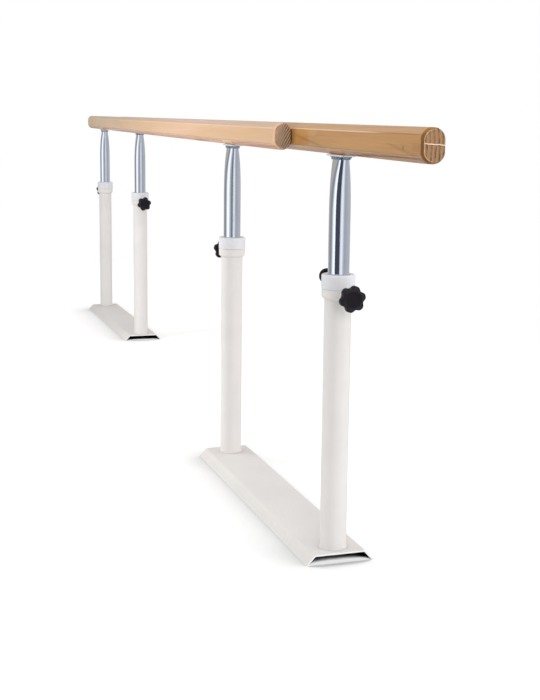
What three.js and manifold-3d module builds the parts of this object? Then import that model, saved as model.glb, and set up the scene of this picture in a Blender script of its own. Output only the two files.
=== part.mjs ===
// Walking parallel bars: two wooden handrails carried by four telescopic posts, which stand in
// pairs on two folded steel base plates. The rails and the plates make a parallelogram that
// pivots on the round posts, and it is modelled folded sideways for storage, with the rails
// side by side and the plates almost in line with them. Opened, the plates lie square to the
// rails and the user walks between the rails and over the plates.
// Millimetres, +X along the rails to the far end, +Y left, +Z up. The origin is on the floor,
// in the middle of the whole assembly.

import * as THREE from 'three';
import { mergeVertices } from 'three/addons/utils/BufferGeometryUtils.js';
import Module from 'manifold-3d';

const wasm = await Module();
wasm.setup();

// Handrails
const railLength = 3100;
const railWidth = 36;
const railHeight = 52;
const railChamfer = 10.5;
const railCornerEase = 2.5;
const railEndEase = 1.5;
const railRestHeight = 729; // underside of the rails above the floor, at the height shown
const foldedRailGap = 1; // between the rails when they are folded together

// Places of the four posts
const railOverhang = 420; // past the axis of each post
const postSpacing = 672; // between the two posts of one base plate

// Base plates
const plateHeight = 18;
const plateTopWidth = 97;
const plateFootWidth = 130;
const plateSheet = 3;
const plateBendRadius = 5;
const plateOverhang = 38; // past the axis of each post

// Outer tubes, welded to the plates
const outerDiameter = 48.3;
const outerWall = 2.6;
const weldSize = 3.5;

// Clamp rings, welded round the outer tubes
const ringBottomHeight = 475.5; // above the floor
const ringHeight = 18.5;
const ringDiameter = 59;
const ringTaperHeight = 4.5;
const bossDiameter = 18;
const bossReach = 36; // from the axis of the post

// Swivel caps, which guide the inner tubes and turn with them
const capDiameter = 60;
const capHeight = 26;
const capCrown = 5;
const capRounding = 3;
const capLeadIn = 1.5;

// Inner tubes, with their tops squeezed flat between the two jaws of a press
const innerDiameter = 38;
const innerWall = 2;
const innerBottomHeight = 172; // above the floor, at the height shown
const pinchLength = 114;
const pinchLand = 6; // straight length at the very end
const pinchedWidth_share = 0.55; // of the round tube's diameter

// Guide bushes in the lower ends of the inner tubes
const bushFlangeHeight = 14;
const bushSpigotLength = 18;
const bushBore = 20;
const bushLeadIn = 1.5;

// Brackets under the rails
const bracketLength = 90;
const bracketWidth = 27;
const bracketSheet = 3;
const bracketCornerRadius = 6;
const socketWall = 2.5;

// Screws from the brackets into the rails
const screwDiameter = 3.5;
const screwHeadDiameter = 7;
const screwHeadHeight = 2.6;
const screwHeadDome = 1.1;
const screwLength = 28;
const screwPoint = 6;
const screwSpacingAlong = 73;
const screwSpacingAcross = 8.6;

// Star knobs, one clamp screw on each ring
const starDiameter = 47;
const starLobeDepth = 4.2;
const starLobes = 6;
const starThickness = 15;
const starBevel = 2.5;
const starHubDiameter = 23;
const starHubLength = 23;
const starHubDraft = 1.5;
const starStandOff = 2.5; // between the boss and the hub when clamped
const starStudDiameter = 10;
const starStudGrip = 15; // length of stud held in the hub
const studPoint = 1;
const brakePadThickness = 3;
const lobePhase_share = 0.58; // of half a turn

// Stop screw in one cap, with its small round knob
const stopDiameter = 6;
const stopInsertDiameter = 12;
const stopFlangeDiameter = 15;
const stopFlange = 1.5;
const stopNeckDiameter = 13;
const stopNeckLength = 15;
const stopKnobDiameter = 28;
const stopKnobThickness = 15;
const stopKnobRounding = 4;
const stopStandOff = 2.5;
const stopStudGrip = 17;
const stopTipThickness = 3;
const stopRise = 14.7; // axis of the stop screw above the underside of the cap

// Clearances
const seatGap = 0.3; // between faces that rest on or are welded to each other
const runGap = 0.3; // round what turns or slides in a bore
const overrun = 1; // by which a cutter passes through what it cuts

// Facets
const tubeSides = 24;
const bushSides = 16;
const bossSides = 16;
const padSides = 8;
const boreSides = 12;
const screwSides = 8;
const lobeSteps = 6;
const pinchSteps = 4;

// Angles of the fold, how far the plates stand from the rails and how far they open, and the
// distances between the posts: across the rails, along them and along one rail
const railSpacing = railWidth + foldedRailGap;
const foldedAngle = Math.asin(railSpacing / postSpacing);
const foldTravel = Math.PI / 2 - foldedAngle;
const postStagger = postSpacing * Math.cos(foldedAngle);
const postPitch = railLength - railOverhang * 2;

// Radii and heights that follow from the sizes above
const outerRadius = outerDiameter / 2;
const outerBore = outerRadius - outerWall;
const innerRadius = innerDiameter / 2;
const capRadius = capDiameter / 2;
const ringTopHeight = ringBottomHeight + ringHeight;
const knobHeight = ringBottomHeight + ringHeight / 2;
const capBottomHeight = ringTopHeight + seatGap;
const capTopHeight = capBottomHeight + capHeight;
const capNeckBore = outerRadius + runGap;
const neckTopHeight = capTopHeight - capCrown - seatGap;
const stopHeight = capBottomHeight + stopRise;
const bracketTopHeight = railRestHeight - seatGap;
const bracketBottomHeight = bracketTopHeight - bracketSheet;
const innerTopHeight = bracketBottomHeight - seatGap;
const socketDepth = pinchLand - seatGap;
const screwHoleRadius = screwDiameter / 2 + runGap;

// Solids for cutting and joining

function toSolid(geometry) {
  const bare = geometry.clone();
  bare.deleteAttribute('normal');
  bare.deleteAttribute('uv');
  const merged = mergeVertices(bare);
  const corners = merged.index.array;
  const kept = [];
  for (let i = 0; i < corners.length; i += 3) {
    const [a, b, c] = [corners[i], corners[i + 1], corners[i + 2]];
    if (a !== b && b !== c && c !== a) kept.push(a, b, c);
  }
  return new wasm.Manifold(new wasm.Mesh({
    numProp: 3,
    vertProperties: merged.attributes.position.array,
    triVerts: new Uint32Array(kept),
  }));
}

function toGeometry(solid) {
  const mesh = solid.getMesh();
  const geometry = new THREE.BufferGeometry();
  geometry.setAttribute('position', new THREE.BufferAttribute(mesh.vertProperties, 3));
  geometry.setIndex(new THREE.BufferAttribute(mesh.triVerts, 1));
  geometry.computeVertexNormals();
  return geometry;
}

function cut(body, ...cutters) {
  return toGeometry(cutters.reduce((solid, cutter) => solid.subtract(toSolid(cutter)), toSolid(body)));
}

function join(first, ...others) {
  return toGeometry(others.reduce((solid, other) => solid.add(toSolid(other)), toSolid(first)));
}

// Turned forms: a profile lists [radius, height] up the outside and down the inside

function turned(profile, sides = tubeSides) {
  const points = profile.map(([radius, height]) => new THREE.Vector2(radius, height));
  return new THREE.LatheGeometry(points, sides).rotateX(Math.PI / 2);
}

function turnedRing(profile, sides = tubeSides) {
  return turned([...profile, profile[0]], sides);
}

function pointingOut(geometry) {
  return geometry.rotateY(Math.PI / 2);
}

function radialRod(radius, from, to, height, sides = boreSides) {
  const rod = new THREE.CylinderGeometry(radius, radius, to - from, sides).rotateZ(-Math.PI / 2);
  return rod.translate((from + to) / 2, 0, height);
}

function uprightRod(radius, from, to, sides = boreSides) {
  const rod = new THREE.CylinderGeometry(radius, radius, to - from, sides).rotateX(Math.PI / 2);
  return rod.translate(0, 0, (from + to) / 2);
}

// Outline of a rectangle with round ends, longer along x
function stadium(halfStraight, endRadius) {
  const shape = new THREE.Shape();
  shape.absarc(halfStraight, 0, endRadius, -Math.PI / 2, Math.PI / 2, false);
  shape.absarc(-halfStraight, 0, endRadius, Math.PI / 2, Math.PI * 3 / 2, false);
  return shape;
}

function roundedRectangle(length, width, radius) {
  const x = length / 2 - radius;
  const y = width / 2 - radius;
  const shape = new THREE.Shape();
  shape.absarc(x, y, radius, 0, Math.PI / 2, false);
  shape.absarc(-x, y, radius, Math.PI / 2, Math.PI, false);
  shape.absarc(-x, -y, radius, Math.PI, Math.PI * 3 / 2, false);
  shape.absarc(x, -y, radius, Math.PI * 3 / 2, Math.PI * 2, false);
  return shape;
}

// Base plate: one sheet folded into a shallow channel that stands on its two edges

function basePlate() {
  const slope = Math.atan2(plateHeight, (plateFootWidth - plateTopWidth) / 2);
  const foot = plateFootWidth / 2;
  const footInside = foot - plateSheet / Math.sin(slope);
  const bendX = plateTopWidth / 2 - plateBendRadius * Math.tan(slope / 2);
  const bendY = plateHeight - plateBendRadius;
  const insideRadius = plateBendRadius - plateSheet;
  const up = Math.PI / 2;
  const section = new THREE.Shape();
  section.moveTo(-foot, 0);
  section.lineTo(-footInside, 0);
  section.absarc(-bendX, bendY, insideRadius, up + slope, up, true);
  section.absarc(bendX, bendY, insideRadius, up, up - slope, true);
  section.lineTo(footInside, 0);
  section.lineTo(foot, 0);
  section.absarc(bendX, bendY, plateBendRadius, up - slope, up, false);
  section.absarc(-bendX, bendY, plateBendRadius, up, up + slope, false);
  const length = postSpacing + plateOverhang * 2;
  const plate = new THREE.ExtrudeGeometry(section, { depth: length, bevelEnabled: false, curveSegments: 3 });
  return plate.translate(0, 0, -length / 2).rotateX(Math.PI / 2).rotateZ(Math.PI / 2);
}

// Outer tube: its weld bead at the foot and a hole for the clamp screw, in the outward side

function outerTube() {
  const foot = plateHeight + seatGap;
  const bead = outerRadius + weldSize;
  const beadWaist = outerRadius + weldSize * (1 - Math.SQRT1_2);
  const beadWaistHeight = foot + weldSize * (1 - Math.SQRT1_2);
  const tube = turnedRing([
    [bead, foot], [beadWaist, beadWaistHeight], [outerRadius, foot + weldSize],
    [outerRadius, neckTopHeight], [outerBore, neckTopHeight], [outerBore, foot],
  ]);
  const studHole = starStudDiameter / 2 + runGap;
  return cut(tube, radialRod(studHole, outerBore - overrun, outerRadius + overrun, knobHeight));
}

// Arc slot in the neck of the tube that has the stop screw: it ends the fold at both limits
function stopSlot() {
  const slotHeight = stopDiameter + runGap * 2;
  const noseAngle = Math.asin((stopDiameter / 2 + runGap) / outerBore);
  const from = Math.PI - foldTravel - noseAngle;
  const to = Math.PI + noseAngle;
  const band = new THREE.Shape();
  band.absarc(0, 0, outerRadius + overrun, from, to, false);
  band.absarc(0, 0, outerBore - overrun, to, from, true);
  const slot = new THREE.ExtrudeGeometry(band, { depth: slotHeight, bevelEnabled: false, curveSegments: 10 });
  return slot.translate(0, 0, stopHeight - slotHeight / 2);
}

// Clamp ring: a tapered collar with the boss that the clamp screw runs in

function clampRing() {
  const ringRadius = ringDiameter / 2;
  const ringBore = outerRadius + seatGap;
  const collar = turnedRing([
    [ringBore + seatGap, ringBottomHeight], [ringRadius, ringBottomHeight + ringTaperHeight],
    [ringRadius, ringTopHeight], [ringBore, ringTopHeight], [ringBore, ringBottomHeight],
  ]);
  const bossRoot = (ringBore + ringRadius) / 2;
  const boss = radialRod(bossDiameter / 2, bossRoot, bossReach, knobHeight, bossSides);
  const bore = radialRod(starStudDiameter / 2 + runGap, 0, bossReach + overrun, knobHeight);
  return cut(join(collar, boss), bore);
}

// Swivel cap: slips over the neck of the outer tube and closes round the inner tube

function swivelCap() {
  const bore = innerRadius + runGap;
  const softening = capRounding * (1 - Math.SQRT1_2);
  return turnedRing([
    [capRadius, capBottomHeight], [capRadius, capTopHeight - capRounding],
    [capRadius - softening, capTopHeight - softening], [capRadius - capRounding, capTopHeight],
    [bore + capLeadIn, capTopHeight], [bore, capTopHeight - capLeadIn],
    [bore, capTopHeight - capCrown], [capNeckBore, capTopHeight - capCrown],
    [capNeckBore, capBottomHeight],
  ]);
}

function cutForInsert(cap) {
  const hole = stopInsertDiameter / 2 + seatGap;
  return cut(cap, radialRod(hole, -capRadius - overrun, overrun - outerRadius, stopHeight));
}

// Inner tube: round below, and pressed flat at the top, where its girth stays the same. At each
// height the section is a stadium whose width is known and whose straight sides take the rest.

function pinchedHalfWidth(belowTop) {
  const along = Math.min(Math.max(belowTop - pinchLand, 0) / pinchLength, 1);
  return innerRadius * (1 - (1 - pinchedWidth_share) * (1 - along) ** 3);
}

function innerSection(height, inset) {
  const halfWidth = pinchedHalfWidth(innerTopHeight - height);
  const halfStraight = (innerRadius - halfWidth) * Math.PI / 2;
  const points = [];
  for (let i = 0; i < tubeSides; i += 1) {
    const angle = (i + 0.5) * Math.PI * 2 / tubeSides;
    const side = Math.sign(Math.cos(angle));
    const radius = halfWidth - inset;
    points.push([side * halfStraight + radius * Math.cos(angle), radius * Math.sin(angle), height]);
  }
  return points;
}

function innerTube() {
  const heights = [innerBottomHeight];
  for (let i = 0; i <= pinchSteps; i += 1) {
    const along = 1 - (i / pinchSteps) ** 1.5;
    heights.push(innerTopHeight - pinchLand - pinchLength * along);
  }
  heights.push(innerTopHeight);
  const outside = heights.map((height) => innerSection(height, 0));
  const inside = heights.map((height) => innerSection(height, innerWall)).reverse();
  const rings = [...outside, ...inside];
  const corners = [];
  rings.forEach((ring, level) => {
    const next = (level + 1) % rings.length;
    for (let i = 0; i < tubeSides; i += 1) {
      const j = (i + 1) % tubeSides;
      const [a, b] = [level * tubeSides + i, level * tubeSides + j];
      const [c, d] = [next * tubeSides + j, next * tubeSides + i];
      corners.push(a, b, c, a, c, d);
    }
  });
  const geometry = new THREE.BufferGeometry();
  geometry.setAttribute('position', new THREE.Float32BufferAttribute(rings.flat(2), 3));
  geometry.setIndex(corners);
  geometry.computeVertexNormals();
  return geometry;
}

// Guide bush: plugs the lower end of the inner tube and runs in the outer tube

function guideBush() {
  const flange = outerBore - runGap;
  const spigot = innerRadius - innerWall - seatGap;
  const top = innerBottomHeight - seatGap;
  const bottom = top - bushFlangeHeight;
  const tip = innerBottomHeight + bushSpigotLength;
  return turnedRing([
    [flange - bushLeadIn, bottom], [flange, bottom + bushLeadIn], [flange, top],
    [spigot, top], [spigot, tip], [bushBore / 2, tip], [bushBore / 2, bottom],
  ], bushSides);
}

// Bracket: a stamped plate with an oval socket for the pinched end of the tube

function screwPlaces() {
  const places = [];
  for (const along of [-1, 1]) {
    for (const across of [-1, 1]) {
      places.push([along * screwSpacingAlong / 2, across * screwSpacingAcross / 2]);
    }
  }
  return places;
}

function bracket() {
  const outline = roundedRectangle(bracketLength, bracketWidth, bracketCornerRadius);
  for (const [x, y] of screwPlaces()) {
    const hole = new THREE.Path();
    hole.absarc(x, y, screwHoleRadius, 0, Math.PI, false);
    hole.absarc(x, y, screwHoleRadius, Math.PI, Math.PI * 2, false);
    outline.holes.push(hole);
  }
  const sheet = new THREE.ExtrudeGeometry(outline, {
    depth: bracketSheet,
    bevelEnabled: false,
    curveSegments: 2,
  });
  sheet.translate(0, 0, bracketBottomHeight);
  const endRadius = pinchedHalfWidth(0);
  const halfStraight = (innerRadius - endRadius) * Math.PI / 2;
  const rim = stadium(halfStraight, endRadius + seatGap + socketWall);
  rim.holes.push(stadium(halfStraight, endRadius + seatGap));
  const depth = socketDepth + bracketSheet / 2;
  const socket = new THREE.ExtrudeGeometry(rim, { depth, bevelEnabled: false, curveSegments: 5 });
  socket.translate(0, 0, bracketBottomHeight - socketDepth);
  return join(sheet, socket);
}

// Pan-head wood screw, point up

function bracketScrew() {
  const seat = bracketBottomHeight - seatGap;
  const bottom = seat - screwHeadHeight;
  const headRadius = screwHeadDiameter / 2;
  const tip = seat + screwLength;
  return turned([
    [0, bottom], [headRadius - screwHeadDome, bottom], [headRadius, bottom + screwHeadDome],
    [headRadius, seat], [screwDiameter / 2, seat], [screwDiameter / 2, tip - screwPoint], [0, tip],
  ], screwSides);
}

// Handrail: a tall bar with chamfered edges, eased all round, and pilot holes for the screws

function railSection() {
  const x = railWidth / 2;
  const y = railHeight / 2;
  const corners = [
    [x, y - railChamfer], [x - railChamfer, y], [railChamfer - x, y], [-x, y - railChamfer],
    [-x, railChamfer - y], [railChamfer - x, -y], [x - railChamfer, -y], [x, railChamfer - y],
  ].map(([u, v]) => new THREE.Vector2(u, v));
  const section = new THREE.Shape();
  corners.forEach((corner, i) => {
    const before = corners[(i + corners.length - 1) % corners.length];
    const after = corners[(i + 1) % corners.length];
    const entry = corner.clone().sub(before).setLength(-railCornerEase).add(corner);
    const exit = after.clone().sub(corner).setLength(railCornerEase).add(corner);
    if (i === 0) section.moveTo(entry.x, entry.y);
    else section.lineTo(entry.x, entry.y);
    section.quadraticCurveTo(corner.x, corner.y, exit.x, exit.y);
  });
  return section;
}

function handrail() {
  const bar = new THREE.ExtrudeGeometry(railSection(), {
    depth: railLength - railEndEase * 2,
    bevelThickness: railEndEase,
    bevelSize: railEndEase,
    bevelOffset: -railEndEase,
    bevelSegments: 1,
    curveSegments: 3,
  });
  bar.translate(0, 0, railEndEase - railLength / 2).rotateX(Math.PI / 2).rotateZ(Math.PI / 2);
  bar.translate(0, 0, railRestHeight + railHeight / 2);
  const depth = bracketBottomHeight + screwLength + runGap;
  const holes = [-1, 1].flatMap((end) => screwPlaces().map(([x, y]) => {
    const hole = uprightRod(screwHoleRadius, railRestHeight - overrun, depth, screwSides);
    return hole.translate(x + end * postPitch / 2, y, 0);
  }));
  return cut(bar, ...holes);
}

// Clamp screw: star knob, stud and the brake pad that the stud presses on the inner tube. The
// pieces lie along +X, outward from the axis of the post.

const padInnerReach = innerRadius + seatGap;
const studNoseReach = padInnerReach + brakePadThickness + seatGap;
const hubReach = bossReach + starStandOff;
const starBackReach = hubReach + starHubLength;

function starOutline() {
  const count = starLobes * lobeSteps;
  const points = [];
  for (let i = 0; i < count; i += 1) {
    const angle = i * Math.PI * 2 / count;
    const hollow = ((1 - Math.cos(angle * starLobes)) / 2) ** 1.6;
    const radius = starDiameter / 2 - starLobeDepth * hollow;
    const place = angle + lobePhase_share * Math.PI;
    points.push(new THREE.Vector2(radius * Math.cos(place), radius * Math.sin(place)));
  }
  return new THREE.Shape(points);
}

function starKnob() {
  const head = new THREE.ExtrudeGeometry(starOutline(), {
    depth: starThickness - starBevel * 2,
    bevelThickness: starBevel,
    bevelSize: starBevel,
    bevelOffset: -starBevel,
    bevelSegments: 1,
  });
  pointingOut(head.translate(0, 0, starBevel)).translate(starBackReach, 0, knobHeight);
  const hubRadius = starHubDiameter / 2;
  const hub = pointingOut(turned([
    [0, hubReach], [hubRadius - starHubDraft, hubReach],
    [hubRadius, starBackReach + starBevel], [0, starBackReach + starBevel],
  ], bossSides)).translate(0, 0, knobHeight);
  const studHole = starStudDiameter / 2 + seatGap;
  const holeEnd = hubReach + starStudGrip + seatGap;
  return cut(join(head, hub), radialRod(studHole, hubReach - overrun, holeEnd, knobHeight));
}

function threadedStud(radius, from, to, height) {
  return pointingOut(turned([
    [0, from], [radius - studPoint, from], [radius, from + studPoint],
    [radius, to - studPoint], [radius - studPoint, to], [0, to],
  ], boreSides)).translate(0, 0, height);
}

function brakePad() {
  const outerReach = padInnerReach + brakePadThickness;
  return radialRod(starStudDiameter / 2, padInnerReach, outerReach, knobHeight, padSides);
}

// Stop screw: a brass insert in the cap, a stud with a small round knob, and a soft tip that
// the stud presses on the inner tube through the slot. They lie along +X too.

const insertInnerReach = capNeckBore + seatGap;
const flangeReach = capRadius + seatGap;
const stopHubReach = flangeReach + stopFlange + stopStandOff;
const stopKnobReach = stopHubReach + stopNeckLength;

function stopTip() {
  const outerReach = padInnerReach + stopTipThickness;
  return radialRod(stopDiameter / 2, padInnerReach, outerReach, stopHeight, padSides);
}

function stopInsert() {
  const bore = stopDiameter / 2 + runGap;
  return pointingOut(turnedRing([
    [stopInsertDiameter / 2, insertInnerReach], [stopInsertDiameter / 2, flangeReach],
    [stopFlangeDiameter / 2, flangeReach], [stopFlangeDiameter / 2, flangeReach + stopFlange],
    [bore, flangeReach + stopFlange], [bore, insertInnerReach],
  ], bushSides)).translate(0, 0, stopHeight);
}

function stopKnob() {
  const radius = stopKnobDiameter / 2;
  const face = stopKnobReach + stopKnobThickness;
  const softening = stopKnobRounding * (1 - Math.SQRT1_2);
  const knob = pointingOut(turned([
    [0, stopHubReach], [stopNeckDiameter / 2, stopHubReach], [stopNeckDiameter / 2, stopKnobReach],
    [radius - softening, stopKnobReach + softening], [radius, stopKnobReach + stopKnobRounding],
    [radius, face - stopKnobRounding], [radius - softening, face - softening],
    [radius - stopKnobRounding, face], [0, face],
  ])).translate(0, 0, stopHeight);
  const hole = stopDiameter / 2 + seatGap;
  const holeEnd = stopHubReach + stopStudGrip + seatGap;
  return cut(knob, radialRod(hole, stopHubReach - overrun, holeEnd, stopHeight));
}

// Finishes

function finish(color, roughness, metalness) {
  return new THREE.MeshStandardMaterial({ color, roughness, metalness });
}

const powderCoat = finish(0xe4e1df, 0.45, 0);
const capPlastic = finish(0xeaeaeb, 0.4, 0);
const chrome = finish(0xc3c9cd, 0.12, 1);
const zinc = finish(0xa9b0b1, 0.35, 1);
const rightWood = finish(0xb98d5c, 0.5, 0);
const leftWood = finish(0xe0b491, 0.5, 0);
const knobPlastic = finish(0x1d1c21, 0.5, 0);
const bushPlastic = finish(0xd8d6cf, 0.6, 0);
const brass = finish(0xb59a52, 0.3, 1);

// Assembly

function add(parent, name, geometry, material) {
  const mesh = new THREE.Mesh(geometry, material);
  mesh.name = name;
  parent.add(mesh);
}

// One post on its plate, with the clamp screw pointing along +X, away from the other post
function addPost(parent, name, hasStop) {
  const tube = outerTube();
  const cap = swivelCap();
  add(parent, `${name}_outer_tube`, hasStop ? cut(tube, stopSlot()) : tube, powderCoat);
  add(parent, `${name}_clamp_ring`, clampRing(), powderCoat);
  add(parent, `${name}_swivel_cap`, hasStop ? cutForInsert(cap) : cap, capPlastic);
  add(parent, `${name}_star_knob`, starKnob(), knobPlastic);
  const studEnd = hubReach + starStudGrip;
  const stud = threadedStud(starStudDiameter / 2, studNoseReach, studEnd, knobHeight);
  add(parent, `${name}_knob_stud`, stud, zinc);
  add(parent, `${name}_brake_pad`, brakePad(), bushPlastic);
}

function addStopScrew(parent) {
  const inward = new THREE.Group();
  inward.rotation.z = Math.PI;
  parent.add(inward);
  add(inward, 'stop_screw_insert', stopInsert(), brass);
  add(inward, 'stop_screw_knob', stopKnob(), knobPlastic);
  const studNose = padInnerReach + stopTipThickness + seatGap;
  const studEnd = stopHubReach + stopStudGrip;
  add(inward, 'stop_screw_stud', threadedStud(stopDiameter / 2, studNose, studEnd, stopHeight), zinc);
  add(inward, 'stop_screw_tip', stopTip(), bushPlastic);
}

function addBase(parent, end, direction) {
  const base = new THREE.Group();
  base.position.x = direction * postPitch / 2;
  base.rotation.z = foldedAngle;
  parent.add(base);
  add(base, `${end}_base_plate`, basePlate(), powderCoat);
  for (const [side, place] of [['right', -1], ['left', 1]]) {
    const post = new THREE.Group();
    post.position.x = place * postSpacing / 2;
    post.rotation.z = place > 0 ? 0 : Math.PI;
    base.add(post);
    const hasStop = end === 'near' && side === 'right';
    addPost(post, `${end}_${side}`, hasStop);
    if (hasStop) addStopScrew(post);
  }
}

function addRail(parent, side, place, wood) {
  const rail = new THREE.Group();
  rail.position.set(place * postStagger / 2, place * railSpacing / 2, 0);
  parent.add(rail);
  add(rail, `${side}_handrail`, handrail(), wood);
  for (const [end, direction] of [['near', -1], ['far', 1]]) {
    const post = new THREE.Group();
    post.position.x = direction * postPitch / 2;
    rail.add(post);
    const name = `${end}_${side}`;
    add(post, `${name}_inner_tube`, innerTube(), chrome);
    add(post, `${name}_guide_bush`, guideBush(), bushPlastic);
    add(post, `${name}_bracket`, bracket(), zinc);
    screwPlaces().forEach(([x, y], i) => {
      add(post, `${name}_screw_${i + 1}`, bracketScrew().translate(x, y, 0), zinc);
    });
  }
}

const bars = new THREE.Group();
addBase(bars, 'near', -1);
addBase(bars, 'far', 1);
addRail(bars, 'right', -1, rightWood);
addRail(bars, 'left', 1, leftWood);

export default bars;
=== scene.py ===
"""Walking parallel bars, folded for storage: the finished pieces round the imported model."""

import math
from functools import cache

import bmesh
import bpy
from bpy.props import FloatProperty, FloatVectorProperty, IntProperty, PointerProperty
from bpy.types import Operator, Panel, PropertyGroup
from mathutils import Matrix, Vector


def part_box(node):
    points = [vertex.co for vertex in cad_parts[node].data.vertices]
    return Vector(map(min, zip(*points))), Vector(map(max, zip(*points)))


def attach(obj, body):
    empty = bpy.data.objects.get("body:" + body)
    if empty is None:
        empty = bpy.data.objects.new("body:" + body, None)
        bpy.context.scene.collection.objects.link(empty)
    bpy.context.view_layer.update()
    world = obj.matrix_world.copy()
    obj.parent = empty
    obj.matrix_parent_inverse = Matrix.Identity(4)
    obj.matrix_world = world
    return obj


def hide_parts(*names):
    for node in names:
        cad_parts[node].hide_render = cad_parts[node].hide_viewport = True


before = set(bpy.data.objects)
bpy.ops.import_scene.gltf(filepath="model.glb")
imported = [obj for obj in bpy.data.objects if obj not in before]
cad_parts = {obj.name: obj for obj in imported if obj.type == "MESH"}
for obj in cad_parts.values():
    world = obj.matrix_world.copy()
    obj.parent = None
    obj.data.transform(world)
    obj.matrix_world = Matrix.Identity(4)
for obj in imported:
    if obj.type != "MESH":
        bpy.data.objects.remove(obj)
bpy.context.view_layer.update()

bl_info = {
    "name": "Walking parallel bars",
    "version": (1, 0, 0),
    "blender": (4, 5, 0),
    "location": "3D View > Sidebar > Bars",
    "description": "Builds the handrails, posts, clamps and base plates of a folded set of walking bars",
    "category": "Object",
}

POSTS = ("near_right", "near_left", "far_right", "far_left")
NEAR_RIGHT = "near_right"
QUARTER_TURN = math.pi / 2
WHOLE_TURN = math.pi * 2
RUN_GAP = 0.0003

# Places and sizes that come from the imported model


def middle(node):
    low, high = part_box(node)
    return (low + high) / 2


def levels(part):
    """The heights between which a part of the near right post stands."""
    low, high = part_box(f"{NEAR_RIGHT}_{part}")
    return low.z, high.z


def base_of(post):
    return post.split("_")[0] + "_base"


def rail_of(post):
    return post.split("_")[1] + "_rail"


def guides_of(post):
    return post.split("_")[1] + "_guides"


def knob_of(post):
    return f"{post}_knob"


def plate_line(end):
    """The middle of a base plate, the distance of its posts and its angle to the rails."""
    right = middle(f"{end}_right_inner_tube").xy
    left = middle(f"{end}_left_inner_tube").xy
    across = left - right
    return (right + left) / 2, across.length, math.atan2(across.y, across.x)


def rail_place(post):
    """The axis of a post on the floor, with +X along the rails."""
    axis = middle(f"{post}_inner_tube")
    return Matrix.Translation((axis.x, axis.y, 0))


def post_place(post):
    """The axis of a post on the floor, with +X outward along its base plate."""
    end, side = post.split("_")
    turn = plate_line(end)[2] + (math.pi if side == "right" else 0)
    return rail_place(post) @ Matrix.Rotation(turn, 4, "Z")


def stop_place():
    """The stop screw points the other way, inward along the plate."""
    return post_place(NEAR_RIGHT) @ Matrix.Rotation(math.pi, 4, "Z")


RAIL_LOW, RAIL_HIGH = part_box("right_handrail")
TUBE_FOOT, TUBE_TOP = levels("inner_tube")
OUTER_FOOT, OUTER_TOP = levels("outer_tube")
RING_FOOT, RING_TOP = levels("clamp_ring")
CAP_FOOT, CAP_TOP = levels("swivel_cap")
BRACKET_FOOT, BRACKET_TOP = levels("bracket")
SCREW_FOOT, SCREW_TOP = levels("screw_1")
PLATE_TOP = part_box("near_base_plate")[1].z
KNOB_AXIS = middle("near_right_brake_pad").z
STOP_AXIS = middle("stop_screw_tip").z


# Settings


def length(name, description, default):
    return FloatProperty(name=name, description=description, default=default, unit="LENGTH", precision=4)


def share(name, description, default):
    return FloatProperty(
        name=name, description=description, default=default, subtype="FACTOR", min=0, max=1)


def count(name, description, default):
    return IntProperty(name=name, description=description, default=default, min=1)


def power(name, description, default):
    return FloatProperty(name=name, description=description, default=default, unit="POWER", min=0)


def colour(name, description, red, green, blue):
    def linear(value):
        value /= 255
        return value / 12.92 if value <= 0.04045 else ((value + 0.055) / 1.055) ** 2.4

    return FloatVectorProperty(
        name=name, description=description, subtype="COLOR", size=4, min=0, max=1,
        default=(linear(red), linear(green), linear(blue), 1))


class RailSettings(PropertyGroup):
    chamfer: length("Chamfer", "Width taken off each long edge", 0.0105)
    easing: length("Corner rounding", "Radius where a chamfer meets a face", 0.0032)
    end_rounding: length("End rounding", "Radius round both ends", 0.0035)
    right_end: length("Right rail's end corners", "Corner radius sanded at its ends", 0.0165)
    left_end: length("Left rail's end corners", "Corner radius sanded at its ends", 0.015)
    sanded: length("Sanded length", "Length over which the end corners fade", 0.014)
    lip: length("Lip", "Width of the lip round a flat end", 0.0007)
    right_rim: length("Right rail's rim", "Depth of the dark rim at its ends", 0.0053)
    right_rings: length("Right rail's rings", "Distance between its growth rings", 0.0068)
    left_rings: length("Left rail's rings", "Distance between its growth rings", 0.0021)
    right_light: colour("Right rail, early wood", "Pale part of the right rail's grain", 205, 150, 81)
    right_dark: colour("Right rail, late wood", "Dark part of the right rail's grain", 173, 117, 54)
    left_light: colour("Left rail, early wood", "Pale part of the left rail's grain", 239, 198, 162)
    left_dark: colour("Left rail, late wood", "Dark part of the left rail's grain", 224, 170, 123)
    end_light: colour("End grain, light", "Pale lines of the end grain", 176, 133, 90)
    end_dark: colour("End grain, dark", "Dark lines of the end grain", 102, 74, 52)
    line_light: colour("Left rail's end, pale lines", "Pale slanting lines of its end", 201, 165, 131)
    line_dark: colour("Left rail's end, dark lines", "Dark slanting lines of its end", 110, 91, 71)
    line_spacing: length("Left rail's end, line spacing", "Distance between its slanting lines", 0.0043)
    glue: colour("Glue line", "Line between the two boards of the right rail", 246, 212, 178)
    # A pale colour painted on the rails as a highlight: on the right rail's top, the upper corners, the
    # left rail's rounded ends and the lip of the flat ends
    painted_highlight: colour("Painted corner highlight", "Wood where the lacquer is thin on the corners", 250, 216, 186)


class TubeSettings(PropertyGroup):
    radius: length("Radius", "Radius of the round part of an inner tube", 0.019)
    wall: length("Wall", "Thickness of its wall", 0.002)
    pinch: length("Pinched length", "Length over which it is pressed flat", 0.114)
    land: length("Straight end", "Length of the flat end that stands in the bracket", 0.006)
    narrow: share("Pinched width", "Width of the flat end as a share of the round tube's", 0.55)
    rows: count("Rows", "Rows of faces along the tube", 70)
    chrome: colour("Chrome", "Colour of the plating", 226, 230, 236)


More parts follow.
